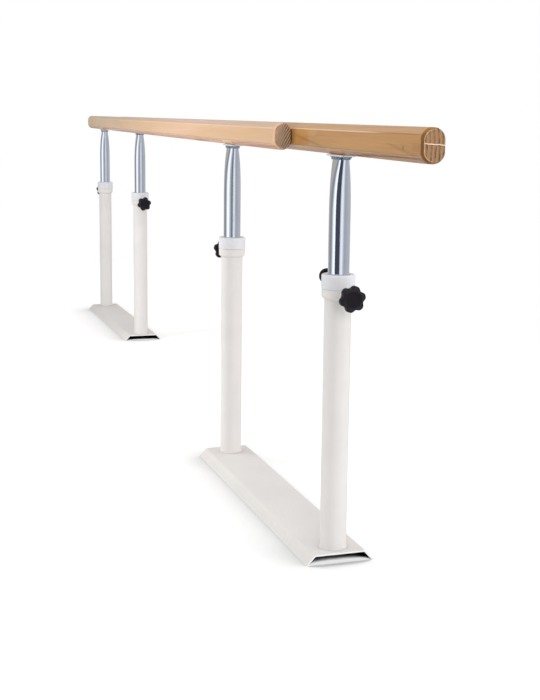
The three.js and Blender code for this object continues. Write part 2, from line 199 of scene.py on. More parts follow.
class PostSettings(PropertyGroup):
    radius: length("Radius", "Radius of an outer tube", 0.02415)
    wall: length("Wall", "Thickness of its wall", 0.0026)
    weld: length("Weld size", "Size of the bead round the foot", 0.0035)
    ripples: count("Weld ripples", "Ripples in the bead round each foot", 46)
    ring_radius: length("Ring radius", "Radius of a clamp ring", 0.0295)
    ring_taper: length("Ring taper", "Height of the taper below a clamp ring", 0.0045)
    boss_radius: length("Boss radius", "Radius of the boss on a clamp ring", 0.009)
    boss_reach: length("Boss reach", "From the axis of the post to the end of the boss", 0.036)
    coat: colour("Powder coat", "White powder coat of plates, tubes and rings", 231, 227, 224)


class CapSettings(PropertyGroup):
    radius: length("Radius", "Radius of a swivel cap", 0.03)
    rounding: length("Rounding", "Radius of its upper edge", 0.0034)
    crown: length("Crown", "Thickness of the crown over the tube's neck", 0.005)
    bore: length("Bore", "Radius of the bore round the inner tube", 0.0193)
    plastic: colour("Cap plastic", "White plastic of the caps", 228, 228, 232)


class KnobSettings(PropertyGroup):
    radius: length("Radius", "Radius over the lobes of a star knob", 0.0235)
    lobe: length("Lobe depth", "Depth of the hollows between the lobes", 0.0042)
    lobes: count("Lobes", "Number of lobes", 6)
    thickness: length("Thickness", "Thickness of the star", 0.015)
    rounding: length("Rounding", "Radius of the moulded edges", 0.0026)
    disc_radius: length("Disc radius", "Radius of the round disc in the face", 0.0152)
    slope: length("Lobe slope", "Drop of the lobes from the disc to their tips", 0.0019)
    phase: share("Phase", "Turn of the first lobe as a share of half a turn", 0.58)
    hub_radius: length("Hub radius", "Radius of the hub behind the star", 0.0115)
    hub_reach: length("Hub reach", "From the axis of the post to the hub", 0.0385)
    back_reach: length("Back reach", "From the axis of the post to the back of the star", 0.0615)
    dish: length("Dish depth", "Depth of the hollow in the disc", 0.0012)
    stud_radius: length("Stud radius", "Radius of the threaded stud", 0.005)
    pitch: length("Thread pitch", "Pitch of its thread", 0.0015)
    plastic: colour("Knob plastic", "Black moulded plastic of the knobs", 24, 21, 27)
    edge_lightening: colour("Lobe plastic", "Colour of the knob's handled lobes and edges", 44, 42, 47)


class BracketSettings(PropertyGroup):
    length: length("Length", "Length of a bracket's plate", 0.09)
    width: length("Width", "Width of its plate", 0.027)
    sheet: length("Sheet", "Thickness of its plate", 0.003)
    corner: length("Corner radius", "Radius of the plate's corners", 0.006)
    socket_wall: length("Socket wall", "Wall of the oval socket", 0.0019)
    screw_along: length("Screw spacing along", "Distance of the screws along the rail", 0.073)
    screw_across: length("Screw spacing across", "Distance of the screws across the rail", 0.0086)
    head_radius: length("Screw head radius", "Radius of a screw's head", 0.0035)
    head_height: length("Screw head height", "Height of a screw's head", 0.0026)
    shank_radius: length("Shank radius", "Radius of a screw's shank", 0.00175)
    zinc: colour("Zinc", "Colour of the zinc plating", 176, 182, 188)


class PlateSettings(PropertyGroup):
    top_width: length("Top width", "Width of a base plate's flat top", 0.097)
    foot_width: length("Foot width", "Width between its lower edges", 0.13)
    sheet: length("Sheet", "Thickness of the folded sheet", 0.003)
    bend: length("Bend radius", "Outer radius of the bends", 0.005)
    overhang: length("Overhang", "Past the axis of each post", 0.038)
    edge: length("Edge rounding", "Radius of the cut edges of the sheet", 0.0005)


class StopSettings(PropertyGroup):
    radius: length("Radius", "Radius of the small round knob", 0.014)
    thickness: length("Thickness", "Thickness of the knob's head", 0.015)
    rounding: length("Rounding", "Radius of its edges", 0.004)
    neck_radius: length("Neck radius", "Radius of its neck", 0.0065)
    hub_reach: length("Neck reach", "From the axis of the post to the neck", 0.0343)
    head_reach: length("Head reach", "From the axis of the post to the head", 0.0493)
    stud_radius: length("Stud radius", "Radius of its threaded stud", 0.003)
    pitch: length("Thread pitch", "Pitch of its thread", 0.001)
    brass: colour("Brass", "Colour of the threaded insert", 200, 168, 104)


class StageSettings(PropertyGroup):
    key: power("Key lamp", "Power of the broad low lamp on the right", 37.5)
    front: power("Front lamp", "Power of the lamp over the camera", 21)
    top: power("Top lamp", "Power of the lamp above the near posts", 14)
    side: power("Side lamp", "Power of the lamp beside the far left post", 13.5)
    sky: FloatProperty(name="Sky", description="Strength of the light from all sides", default=0.75, min=0)
    floor: colour("Floor", "Colour of the floor", 232, 232, 232)
    lift: FloatProperty(name="Floor lift", description="Floor as the camera sees it", default=1.08, min=0)
    shade: share("Floor shade", "Depth of the soft shade beside the plates", 0.75)


class BarsSettings(PropertyGroup):
    rails: PointerProperty(type=RailSettings, name="Handrails")
    tubes: PointerProperty(type=TubeSettings, name="Inner tubes")
    posts: PointerProperty(type=PostSettings, name="Posts")
    caps: PointerProperty(type=CapSettings, name="Swivel caps")
    knobs: PointerProperty(type=KnobSettings, name="Star knobs")
    brackets: PointerProperty(type=BracketSettings, name="Brackets")
    plates: PointerProperty(type=PlateSettings, name="Base plates")
    stop: PointerProperty(type=StopSettings, name="Stop screw")
    stage: PointerProperty(type=StageSettings, name="Stage")


# Meshes from loops of points


def circle(radius, height, sides, phase=0.0):
    angles = [WHOLE_TURN * i / sides + phase for i in range(sides)]
    return [(radius * math.cos(angle), radius * math.sin(angle), height) for angle in angles]


def turns(steps, whole=QUARTER_TURN, first=0):
    """Angles in even steps up to a whole arc."""
    return [whole * k / steps for k in range(first, steps + 1)]


def skin(name, loops, ring=False):
    """Faces between equal loops of points. A ring joins the last loop to the first, and
    anything else is closed by a flat face at both ends."""
    size = len(loops[0])
    faces = []
    for a in range(len(loops) if ring else len(loops) - 1):
        b = (a + 1) % len(loops)
        for i in range(size):
            j = (i + 1) % size
            faces.append((a * size + i, a * size + j, b * size + j, b * size + i))
    if not ring:
        faces.append(tuple(range(size))[::-1])
        faces.append(tuple(range((len(loops) - 1) * size, len(loops) * size)))
    mesh = bpy.data.meshes.new(name)
    mesh.from_pydata([point for loop in loops for point in loop], [], faces)
    return mesh


def smoothed(mesh, sharp):
    """Smooth shading, but for edges that turn by more than an angle in degrees."""
    mesh.polygons.foreach_set("use_smooth", [True] * len(mesh.polygons))
    mesh.set_sharp_from_angle(angle=math.radians(sharp))
    return mesh


def close(mesh, sharp=40):
    """Merges doubled points, turns all faces outward and smooths between them."""
    work = bmesh.new()
    work.from_mesh(mesh)
    bmesh.ops.remove_doubles(work, verts=work.verts, dist=1e-6)
    bmesh.ops.dissolve_degenerate(work, edges=work.edges, dist=1e-7)
    loose = [edge for edge in work.edges if not edge.link_faces]
    bmesh.ops.delete(work, geom=loose, context="EDGES")
    bmesh.ops.recalc_face_normals(work, faces=work.faces)
    if work.calc_volume(signed=True) < 0:
        bmesh.ops.reverse_faces(work, faces=work.faces)
    work.to_mesh(mesh)
    work.free()
    return smoothed(mesh, sharp)


def rounded(corners, steps=4):
    """Points round a closed outline of corners (u, v, radius)."""
    points = []
    for i, (u, v, radius) in enumerate(corners):
        here = Vector((u, v))
        if radius <= 0:
            points.append(here)
            continue
        back = (Vector(corners[i - 1][:2]) - here).normalized()
        on = (Vector(corners[(i + 1) % len(corners)][:2]) - here).normalized()
        half = back.angle(on) / 2
        centre = here + (back + on).normalized() * radius / math.sin(half)
        first = here + back * radius / math.tan(half) - centre
        last = here + on * radius / math.tan(half) - centre
        points += [centre + first.slerp(last, k / steps) * radius for k in range(steps + 1)]
    return points


def turned(name, corners, sides=96, ring=False, steps=4, sharp=40):
    """A turned form from corners (radius, height, rounding). Unless it is a ring, the outline
    starts and ends on the axis."""
    loops = [circle(radius, height, sides) for radius, height in rounded(corners, steps)]
    return close(skin(name, loops, ring), sharp)


def outward(mesh, height):
    """Lays a form turned round Z along +X, at a height above the floor."""
    mesh.transform(Matrix.Translation((0, 0, height)) @ Matrix.Rotation(QUARTER_TURN, 4, "Y"))
    return mesh


def rod(radius, start, end, height, sides=48):
    """A plain round bar along +X, for cutting holes."""
    corners = [(0, start, 0), (radius, start, 0), (radius, end, 0), (0, end, 0)]
    return outward(turned("rod", corners, sides), height)


def marked(mesh, name, values, domain="POINT"):
    """Writes a mask for the material, one value for each point or face."""
    mesh.attributes.new(name, "FLOAT", domain).data.foreach_set("value", values)
    return mesh


def added(name, data):
    """A new object in the scene."""
    made = bpy.data.objects.new(name, data)
    bpy.context.scene.collection.objects.link(made)
    return made


def evaluated(source):
    """The plain mesh of an object with its modifiers, which then go with the object."""
    depsgraph = bpy.context.evaluated_depsgraph_get()
    mesh = bpy.data.meshes.new_from_object(source.evaluated_get(depsgraph))
    if not len(mesh.polygons):
        raise RuntimeError(f"{source.name} has no faces")
    bpy.data.objects.remove(source)
    return mesh


def carved(mesh, cutter, operation="DIFFERENCE", sharp=30):
    """The mesh with another one cut out of it or joined to it."""
    body = added(mesh.name, mesh)
    helper = added("cutter", cutter)
    boolean = body.modifiers.new("carve", "BOOLEAN")
    boolean.operation = operation
    boolean.solver = "EXACT"
    boolean.object = helper
    made = evaluated(body)
    bpy.data.objects.remove(helper)
    return close(made, sharp)


# Finished pieces


def bars():
    return bpy.context.scene.bars


def piece(name, mesh, body, material, nodes=(), place=None):
    """A finished piece: its mesh in place, its material, and the body that it moves with."""
    mesh = mesh.copy()
    mesh.name = name
    if place is not None:
        mesh.transform(place)
    mesh.materials.clear()
    mesh.materials.append(material)
    made = added(name, mesh)
    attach(made, body)
    if nodes:
        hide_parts(*nodes)


def on_posts(name, mesh, body, material, nodes, place):
    """The same piece on each post, in place of the post's nodes with these endings."""
    for post in POSTS:
        replaced = [f"{post}_{ending}" for ending in nodes]
        piece(f"{post}_{name}", mesh, body(post), material, replaced, place(post))


# Node trees


class Value:
    """An output of a node. Sums and products of values make nodes, with numbers as well as with
    places and colours, and an index picks another output of the same node."""

    def __init__(self, socket):
        self.socket = socket
        self.tree = socket.id_data

    def __getitem__(self, name):
        return Value(self.socket.node.outputs[name])

    def __add__(self, other):
        return maths("ADD", self, other)

    def __sub__(self, other):
        return maths("SUBTRACT", self, other)

    def __rsub__(self, other):
        return maths("SUBTRACT", other, self)

    def __mul__(self, other):
        return maths("MULTIPLY", self, other)

    def __truediv__(self, other):
        return maths("DIVIDE", self, other)

    def __rtruediv__(self, other):
        return maths("DIVIDE", other, self)

    def __pow__(self, other):
        return maths("POWER", self, other)

    def __abs__(self):
        return maths("ABSOLUTE", self)


def feed(socket, value):
    if isinstance(value, Value):
        socket.id_data.links.new(value.socket, socket)
    elif value is not None:
        socket.default_value = value


def node(tree, kind, *values, inputs=None, **settings):
    """A node with settings, as the value of its first output. Values go to its inputs in
    order, and named ones by name."""
    made = tree.nodes.new(kind)
    for name, value in settings.items():
        setattr(made, name, value)
    for socket, value in zip(made.inputs, values):
        feed(socket, value)
    for name, value in (inputs or {}).items():
        feed(made.inputs[name], value)
    return Value(made.outputs[0]) if len(made.outputs) else None


def maths(operation, *values):
    """A calculation with numbers, or with places and colours."""
    known = next(value.socket for value in values if isinstance(value, Value))
    kind = "ShaderNodeMath" if known.type in ("VALUE", "INT") else "ShaderNodeVectorMath"
    made = node(known.id_data, kind, *values, operation=operation)
    return made["Value"] if operation in ("LENGTH", "DOT_PRODUCT") else made


def most(first, second):
    return maths("MAXIMUM", first, second)


def least(first, second):
    return maths("MINIMUM", first, second)


def clamped(value):
    return node(value.tree, "ShaderNodeClamp", value)


def ease(value, low, high, to_low=0.0, to_high=1.0):
    """A soft step from one value to another."""
    return node(
        value.tree, "ShaderNodeMapRange", value, low, high, to_low, to_high,
        interpolation_type="SMOOTHSTEP")


def split(place):
    return node(place.tree, "ShaderNodeSeparateXYZ", place)


def joined(tree, x, y, z):
    return node(tree, "ShaderNodeCombineXYZ", x, y, z)


def noise(place, scale, detail, roughness=0.5):
    return node(place.tree, "ShaderNodeTexNoise", inputs={
        "Vector": place, "Scale": scale, "Detail": detail, "Roughness": roughness})


def blended(factor, first, second, blend_type="MIX"):
    """A mix of two colours, whose sockets come after those for numbers and places."""
    tree = next(value.tree for value in (factor, first, second) if isinstance(value, Value))
    skipped = [None] * 5
    return node(
        tree, "ShaderNodeMix", factor, *skipped, first, second, data_type="RGBA",
        blend_type=blend_type)[2]


def dyed(tone, dye, factor=1.0):
    return blended(factor, tone, dye, "MULTIPLY")


def tinted(tint, factor):
    return (tint[0] * factor, tint[1] * factor, tint[2] * factor, 1)


KINDS = {float: "NodeSocketFloat", int: "NodeSocketInt", tuple: "NodeSocketVector"}
ORIGIN = (0.0, 0.0, 0.0)


def group(name, kind, inputs, outputs, output_kind="NodeSocketFloat"):
    """An empty node group. Each input is given with its default, or else with its kind."""
    tree = bpy.data.node_groups.new(name, kind)
    for label, default in inputs.items():
        plain = type(default) in KINDS
        socket = tree.interface.new_socket(
            label, in_out="INPUT", socket_type=KINDS[type(default)] if plain else default)
        if plain:
            socket.default_value = default
    for label in outputs:
        tree.interface.new_socket(label, in_out="OUTPUT", socket_type=output_kind)
    given = Value(tree.nodes.new("NodeGroupInput").outputs[0])
    return tree, given, tree.nodes.new("NodeGroupOutput").inputs


def geometry(name, inputs):
    """An empty geometry tree, which makes one mesh with one material."""
    inputs = {**inputs, "Material": "NodeSocketMaterial"}
    return group(name, "GeometryNodeTree", inputs, ["Mesh"], "NodeSocketGeometry")


def ended(mesh, given, out):
    """The end of every geometry tree."""
    mesh = node(mesh.tree, "GeometryNodeRealizeInstances", mesh)
    feed(out["Mesh"], node(mesh.tree, "GeometryNodeSetMaterial", inputs={
        "Geometry": mesh, "Material": given["Material"]}))
    return mesh.tree


def points_of(tree):
    return split(node(tree, "GeometryNodeInputPosition"))


def moved(mesh, x, y, z):
    place = joined(mesh.tree, x, y, z)
    return node(mesh.tree, "GeometryNodeSetPosition", inputs={"Geometry": mesh, "Position": place})


def lifted(instances, height):
    tree = instances.tree
    return node(tree, "GeometryNodeTranslateInstances", inputs={
        "Instances": instances, "Translation": joined(tree, 0.0, 0.0, height), "Local Space": False})


def chance(tree, seed, low, high):
    """A number for each instance, between two limits."""
    return node(
        tree, "FunctionNodeRandomValue", None, None, low, high, data_type="FLOAT",
        inputs={"Seed": seed})[1]


def grown(name, tree, **values):
    """The plain mesh that a geometry tree makes, with its inputs set by identifier."""
    holder = added(name, bpy.data.meshes.new(name))
    modifier = holder.modifiers.new(name, "NODES")
    modifier.node_group = tree
    for socket in tree.interface.items_tree:
        if socket.item_type == "SOCKET" and socket.in_out == "INPUT" and socket.name in values:
            modifier[socket.identifier] = values[socket.name]
    return evaluated(holder)


# Effects that several materials share


@cache
def relief_group():
    """Fine moulded or sprayed texture: a height and a soft mask of patches."""
    tree, given, out = group(
        "Surface relief", "ShaderNodeTree",
        {"Position": ORIGIN, "Grain size": 0.001, "Patch size": 0.08}, ["Height", "Patches"])
    feed(out["Height"], noise(given["Position"], 1.0 / given["Grain size"], 2.0, 0.45))
    broad = noise(given["Position"], 1.0 / given["Patch size"], 4.0, 0.6)
    feed(out["Patches"], ease(broad, 0.32, 0.68))
    return tree


@cache
def low_darkening_group():
    """More the nearer a place is to the floor, broken up into patches."""
    tree, given, out = group(
        "Floor dust", "ShaderNodeTree",
        {"Position": ORIGIN, "Reach": 0.02, "Amount": 0.5}, ["Mask"])
    near = clamped(1.0 - split(given["Position"])[2] / given["Reach"])
    patches = ease(noise(given["Position"], 160.0, 5.0, 0.7), 0.38, 0.66)
    feed(out["Mask"], near * patches * given["Amount"])
    return tree


@cache
def scratch_group():
    """Faint marks along Z, as on a tube that slides in a bush."""
    tree, given, out = group(
        "Sliding marks", "ShaderNodeTree",
        {"Position": ORIGIN, "Spacing": 0.0008, "Length": 0.08}, ["Marks"])
    across = 1.0 / given["Spacing"]
    stretch = joined(tree, across, across, 1.0 / given["Length"])
    feed(out["Marks"], ease(noise(given["Position"] * stretch, 1.0, 3.0, 0.6), 0.62, 0.74))
    return tree


@cache
def wood_group():
    """Grain of a board along X: rings round an axis that lies outside the board and leans a
    little, fibres, and short pores."""
    tree, given, out = group(
        "Wood grain", "ShaderNodeTree", {
            "Position": ORIGIN, "Pith": (0.0, 0.1, 0.0), "Lean": (0.0, 0.01, 0.0),
            "Ring spacing": 0.003, "Wander": 0.004, "Wobble": 0.9, "Seed": 0.0,
        }, ["Rings", "Fibres", "Pores", "Cloud"])
    position = given["Position"]
    seed = joined(tree, given["Seed"], given["Seed"], 0.0)

    def stretched(along, across, detail, roughness=0.5, offset=0.0):
        place = position * (along, across, across) + seed
        return noise(place + (offset, offset, offset), 1.0, detail, roughness)

    x = split(position)
    sway = stretched(2.2, 9.0, 2.0)["Color"] - (0.5, 0.5, 0.5)
    sway = sway * joined(tree, 0.0, given["Wander"], given["Wander"])
    from_pith = position - (given["Pith"] + given["Lean"] * joined(tree, x, x, x)) + sway
    distance = maths("LENGTH", from_pith * (0.0, 1.0, 1.0))
    wobble = stretched(5.0, 60.0, 3.0, 0.55, 7.3)
    saw = maths("FRACT", distance / given["Ring spacing"] + wobble * given["Wobble"])
    feed(out["Rings"], ease(saw, 0.25, 0.86) * ease(saw, 0.9, 1.0, 1.0, 0.0))
    feed(out["Fibres"], ease(stretched(7.0, 850.0, 3.0, 0.65, 3.1), 0.3, 0.7))
    feed(out["Pores"], ease(stretched(130.0, 1500.0, 1.0, 0.5, 11.7), 0.66, 0.76))
    feed(out["Cloud"], ease(stretched(1.6, 22.0, 3.0, 0.5, 5.9), 0.3, 0.7))
    return tree


def effect(tree, shared, **inputs):
    made = tree.nodes.new("ShaderNodeGroup")
    made.node_tree = shared
    for label, value in inputs.items():
        feed(made.inputs[label.replace("_", " ")], value)
    return Value(made.outputs[0])


# Materials, each built once


def bare(name):
    """A material with an empty node tree."""
    made = bpy.data.materials.new(name)
    made.use_nodes = True
    made.node_tree.nodes.clear()
    return made, made.node_tree


def blank(name, **fixed):
    """A material with its Principled shader, whose inputs come back, and the place on the
    object."""
    made, tree = bare(f"{name}_finish")
    shader = tree.nodes.new("ShaderNodeBsdfPrincipled")
    node(tree, "ShaderNodeOutputMaterial", Value(shader.outputs[0]))
    for label, value in fixed.items():
        shader.inputs[label.replace("_", " ")].default_value = value
    return made, tree, shader.inputs, node(tree, "ShaderNodeTexCoord")["Object"]


def bump(height, distance, strength):
    return node(height.tree, "ShaderNodeBump", inputs={
        "Height": height, "Distance": distance, "Strength": strength})


def mask(tree, name):
    return node(tree, "ShaderNodeAttribute", attribute_name=name)["Fac"]


def textured(name, grain, patch, depth, strength=0.5, **fixed):
    """A material with a fine relief, which comes back with the shader's inputs."""
    made, tree, shader, position = blank(name, **fixed)
    relief = effect(tree, relief_group(), Position=position, Grain_size=grain, Patch_size=patch)
    feed(shader["Normal"], bump(relief["Height"], depth, strength))
    return made, shader, relief, position


def patchy(shader, relief, dark, light, low_rough, high_rough):
    """Two tones and two roughnesses in soft patches."""
    feed(shader["Base Color"], blended(relief["Patches"], dark, light))
    feed(shader["Roughness"], ease(relief["Patches"], 0, 1, low_rough, high_rough))


@cache
def powder_coat():
    coat = bars().posts.coat
    made, shader, relief, position = textured(
        "powder_coat", 0.0011, 0.09, 0.00004, Specular_IOR_Level=0.3)
    tree = relief.tree
    # Darker in patches within a few centimetres of the floor
    low_darkening = effect(tree, low_darkening_group(), Position=position, Reach=0.03, Amount=0.35)
    tone = blended(relief["Patches"], tinted(coat, 0.965), coat)
    tone = blended(low_darkening, tone, tinted(coat, 0.8))
    # Painted shade: the faces inside the folded plates are nearly black
    tone = blended(mask(tree, "inside"), tone, tinted(coat, 0.16))
    # Painted highlight: the sawn ends of the sheet are paler than the coat
    feed(shader["Base Color"], blended(mask(tree, "cut"), tone, (0.93, 0.93, 0.93, 1)))
    feed(shader["Roughness"], ease(relief["Patches"], 0, 1, 0.38, 0.46))
    return made


@cache
def cap_plastic():
    plastic = bars().caps.plastic
    made, shader, relief, _ = textured("cap_plastic", 0.0006, 0.02, 0.00003)
    patchy(shader, relief, tinted(plastic, 0.97), plastic, 0.42, 0.52)
    return made


@cache
def bush_plastic():
    made, shader, relief, _ = textured("bush_plastic", 0.0008, 0.01, 0.00004)
    patchy(shader, relief, (0.56, 0.54, 0.48, 1), (0.68, 0.66, 0.6, 1), 0.5, 0.62)
    return made


@cache
def brass():
    tint = bars().stop.brass
    made, shader, relief, _ = textured("brass", 0.0009, 0.006, 0.00002, 0.4, Metallic=1.0)
    patchy(shader, relief, tinted(tint, 0.8), tint, 0.25, 0.4)
    return made


@cache
def chrome():
    tint = bars().tubes.chrome
    made, shader, relief, position = textured("chrome", 0.004, 0.05, 0.00001, 0.4, Metallic=1.0)
    marks = effect(relief.tree, scratch_group(), Position=position, Spacing=0.0012, Length=0.09)
    feed(shader["Base Color"], blended(relief["Patches"], tinted(tint, 0.94), tint))
    feed(shader["Roughness"], ease(relief["Patches"], 0, 1, 0.07, 0.12) + marks * 0.1)
    return made


@cache
def zinc_plate():
    tint = bars().brackets.zinc
    blue = (tint[0] * 0.3, tint[1] * 0.38, tint[2] * 0.46, 1)
    made, shader, relief, _ = textured("zinc", 0.0012, 0.0055, 0.00003)
    edge = mask(relief.tree, "edge")
    tone = blended(relief["Patches"], blue, tint)
    # Painted highlight: the flat plate of a bracket is pale and less metallic than its socket
    feed(shader["Base Color"], blended(edge, tone, tinted(tint, 1.7)))
    feed(shader["Roughness"], ease(relief["Height"], 0.2, 0.8, 0.24, 0.42))
    feed(shader["Metallic"], ease(edge, 0, 1, 1.0, 0.3))
    return made


@cache
def knob_plastic():
    knobs = bars().knobs
    made, shader, relief, _ = textured(
        "knob_plastic", 0.0007, 0.012, 0.00005, 0.6, Specular_IOR_Level=0.16)
    edge_lightening = mask(relief.tree, "edge") * ease(relief["Patches"], 0, 1, 0.5, 1.0)
    feed(shader["Base Color"], blended(edge_lightening, knobs.plastic, knobs.edge_lightening))
    feed(shader["Roughness"], ease(edge_lightening, 0, 1, 0.5, 0.42))
    return made


def streak(x, z, at, height, slope, reach, strength):
    """A faint dark streak that crosses the side of a rail at a slant."""
    along = x + at
    band = ease(abs(z - along * slope - height), 0.0008, 0.0036, strength, 0.0)
    return band * ease(abs(along), reach * 0.4, reach, 1.0, 0.0)


def end_grain(right, grain, wander, seam, place):
    """The sawn end: rings and a glue line on the right rail, slanting lines on the left one."""
    rails = bars().rails
    rings = grain["Rings"] * ease(wander, 0.35, 0.65, 0.35, 0.95)
    tone = blended(clamped(rings + grain["Fibres"] * 0.35), rails.end_light, rails.end_dark)
    if right:
        under = ease(abs(seam + 0.0014), 0.0002, 0.0009, 0.6, 0.0)
        tone = blended(under, tone, tinted(rails.end_dark, 0.7))
        return blended(ease(abs(seam), 0.0004, 0.0011, 1.0, 0.0), tone, rails.glue)
    slant = maths("DOT_PRODUCT", place, (0.0, 0.87, 0.5))
    # Tint and painted shade: the left rail's end is paler and pinker towards its upper left, darker
    # towards its lower right beside the right rail
    end_tint_and_shade = blended(ease(slant, -0.019, 0.019), (0.88, 1.22, 1.95, 1), (1.66, 2.0, 2.95, 1))
    waves = slant * (WHOLE_TURN / rails.line_spacing) + wander * 7.0
    lines = blended(ease(maths("SINE", waves), -0.2, 0.95), rails.line_dark, rails.line_light)
    return blended(ease(split(place)[1], -0.009, 0.008, 0.85, 0.15), dyed(tone, end_tint_and_shade), lines)


def board_marks(tone, dark, x, z, place):
    """Streaks and a knot on the side of the right rail."""
    streaks = most(
        streak(x, z, 1.805, -0.008, 0.125, 0.085, 0.32), streak(x, z, 1.33, -0.006, 0.1, 0.13, 0.5))
    tone = blended(streaks, tone, tinted(dark, 0.66))
    radius = maths("LENGTH", (place - (-1.8106, 0.018, -0.0052)) * (1.0, 0.7, 1.15))
    tone = blended(ease(radius, 0.0025, 0.009, 0.32, 0.0), tone, tinted(dark, 0.7))
    return blended(ease(radius, 0.001, 0.0024, 0.85, 0.0), tone, tinted(dark, 0.22))


@cache
def rail_wood(side):
    """Lacquered wood. The right rail is glued up from two boards, the left one is plain beech. Light and
    shade on the top, corners, underside and ends are painted into the colour.
    """
    made, tree, shader, position = blank(
        f"{side}_wood", Specular_IOR_Level=0.2, Coat_Roughness=0.06)
    rails = bars().rails
    right = side == "right"
    centre = middle(f"{side}_handrail")
    place = position - (0.0, centre.y, centre.z)
    x, y, z = split(place)
    end, rim, lip, corner = (mask(tree, name) for name in RAIL_MASKS)
    wander = noise(position * (3.0, 130.0, 130.0), 1.0, 3.0)
    seam = z - 0.0021 - (wander - 0.5) * 0.003 - y * 0.07
    if right:
        light, dark = rails.right_light, rails.right_dark
        upper_board = maths("GREATER_THAN", seam, 0.0)
        growth = {
            "Pith": blended(upper_board, (0.0, 0.16, -0.045, 1), (0.0, 0.19, 0.012, 1)),
            "Lean": (0.0, 0.012, 0.006), "Ring_spacing": rails.right_rings,
            "Wander": 0.012, "Wobble": 0.5, "Seed": 2.0,
        }
    else:
        light, dark = rails.left_light, rails.left_dark
        growth = {
            "Pith": (0.0, 0.072, 0.058), "Lean": (0.0, -0.004, 0.003),
            "Ring_spacing": rails.left_rings, "Wander": 0.006, "Wobble": 0.8, "Seed": 9.0,
        }
    grain = effect(tree, wood_group(), Position=place, **growth)
    rings = grain["Rings"] * (0.3 if right else 0.34)
    tone = blended(clamped(rings + grain["Fibres"] * 0.2 + grain["Cloud"] * 0.38), light, dark)
    tone = blended(grain["Pores"] * 0.3, tone, tinted(dark, 0.62))
    tone = dyed(tone, blended(grain["Cloud"], (1.03, 0.985, 1.0, 1), (0.97, 1.0, 0.88, 1)))
    # Painted shade under the rail: darker and warmer below, but not beside the brackets
    lower = ease(z, -0.0185, -0.0155, 1.0, 0.0)
    for post in POSTS:
        if rail_of(post) == f"{side}_rail":
            lower = lower * ease(abs(x - middle(f"{post}_bracket").x), 0.035, 0.05)
    tone = dyed(tone, (0.75, 0.67, 0.46, 1) if right else (0.72, 0.48, 0.25, 1), lower)
    # Painted light on the top: lighter on the right rail, darker and cooler on the left one. The upper
    # corners get a painted highlight whose strength varies at random along the rail
    upper = ease(z, 0.0145, 0.018)
    edge_lightening = ease(wander, 0.3, 0.6, 0.45, 0.8)
    upper_corner = most(corner, 0.0)
    if right:
        tone = blended(upper * 0.14, tone, rails.painted_highlight)
        tone = board_marks(tone, dark, x, z, place)
        tone = blended(upper_corner * (edge_lightening * ease(x, -1.78, -1.62)), tone, rails.painted_highlight)
        # Painted shade on the right rail's upper corners near its end, where the painted highlight stops
        near_end = ease(x, -1.78, -1.62, 0.45, 0.0)
        tone = blended(near_end * upper_corner, tone, tinted(dark, 0.6))
        # The right rail's rounded ends show dark end grain, painted lighter towards the top as light falls
        rim_tone = blended(ease(z, 0.012, 0.021), tinted(dark, 0.42), tinted(dark, 0.7))
    else:
        tone = dyed(tone, (0.86, 0.93, 1.08, 1), upper)
        tone = blended(upper_corner * edge_lightening, tone, rails.painted_highlight)
        # The left rail's rounded ends get the painted highlight
        rim_tone = rails.painted_highlight
    # Painted shade on the lower long corners
    tone = blended(most(corner * -1.0, 0.0) * 0.55, tone, tinted(dark, 0.55))
    tone = blended(end, tone, end_grain(right, grain, wander, seam, place))
    tone = blended(rim * (0.85 if right else 0.45), tone, rim_tone)
    # A painted highlight on the lip round the flat ends
    feed(shader["Base Color"], blended(lip * 0.55, tone, rails.painted_highlight))
    feed(shader["Roughness"], grain["Fibres"] * 0.1 + 0.4 + end * 0.25)
    feed(shader["Normal"], bump(grain["Fibres"] - grain["Pores"] * 1.5, 0.00003, 0.5))
    feed(shader["Coat Weight"], ease(rim, 0, 1, 0.7, 0.2))
    return made


# Handrails


RAIL_MASKS = ("end", "rim", "lip", "corner")


def rail_loop(settings, inset, radius):
    """The section of a rail, this far inside its faces: corners turned into arcs."""
    size = RAIL_HIGH - RAIL_LOW
    x = size.y / 2 - inset
    y = size.z / 2 - inset
    cut = settings.chamfer - (2 - math.sqrt(2)) * inset
    radius = min(radius, 0.98 * cut / math.sqrt(2) / math.tan(math.pi / 8))
    quarter = [(x, y - cut), (x - cut, y)]
    corners = quarter + [(-u, v) for u, v in quarter[::-1]]
    corners += [(-u, -v) for u, v in quarter] + [(u, -v) for u, v in quarter[::-1]]
    return rounded([(u, v, radius) for u, v in corners], 6)


def handrail_mesh(settings, side):
    """A rail from end to end. The long corners are crisp, and their rounding grows over the
    last millimetres, where the ends were sanded."""
    low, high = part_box(f"{side}_handrail")
    centre = (low + high) / 2
    radius = settings.end_rounding
    end_corner = settings.right_end if side == "right" else settings.left_end
    steps, spans = 8, 24
    stations = [(0, radius + settings.lip, end_corner), (0, radius, end_corner)]
    for turn in turns(steps, first=1):
        stations.append((radius * (1 - math.cos(turn)), radius * (1 - math.sin(turn)), end_corner))
    for k in range(1, steps + 1):
        corner = settings.easing + (end_corner - settings.easing) * (1 - k / steps) ** 1.5
        stations.append((radius + settings.sanded * k / steps, 0, corner))
    near = [(low.x + depth, inset, corner) for depth, inset, corner in stations]
    far = [(high.x - depth, inset, corner) for depth, inset, corner in stations[::-1]]
    between = [(low.x + (high.x - low.x) * i / spans, 0, settings.easing) for i in range(1, spans)]
    loops = [
        [(x, centre.y + u, centre.z + v) for u, v in rail_loop(settings, inset, corner)]
        for x, inset, corner in near + between + far
    ]
    mesh = skin(f"{side}_handrail", loops)
    mark_rail(mesh, settings, low, high, len(loops[0]))
    return close(mesh, 50)


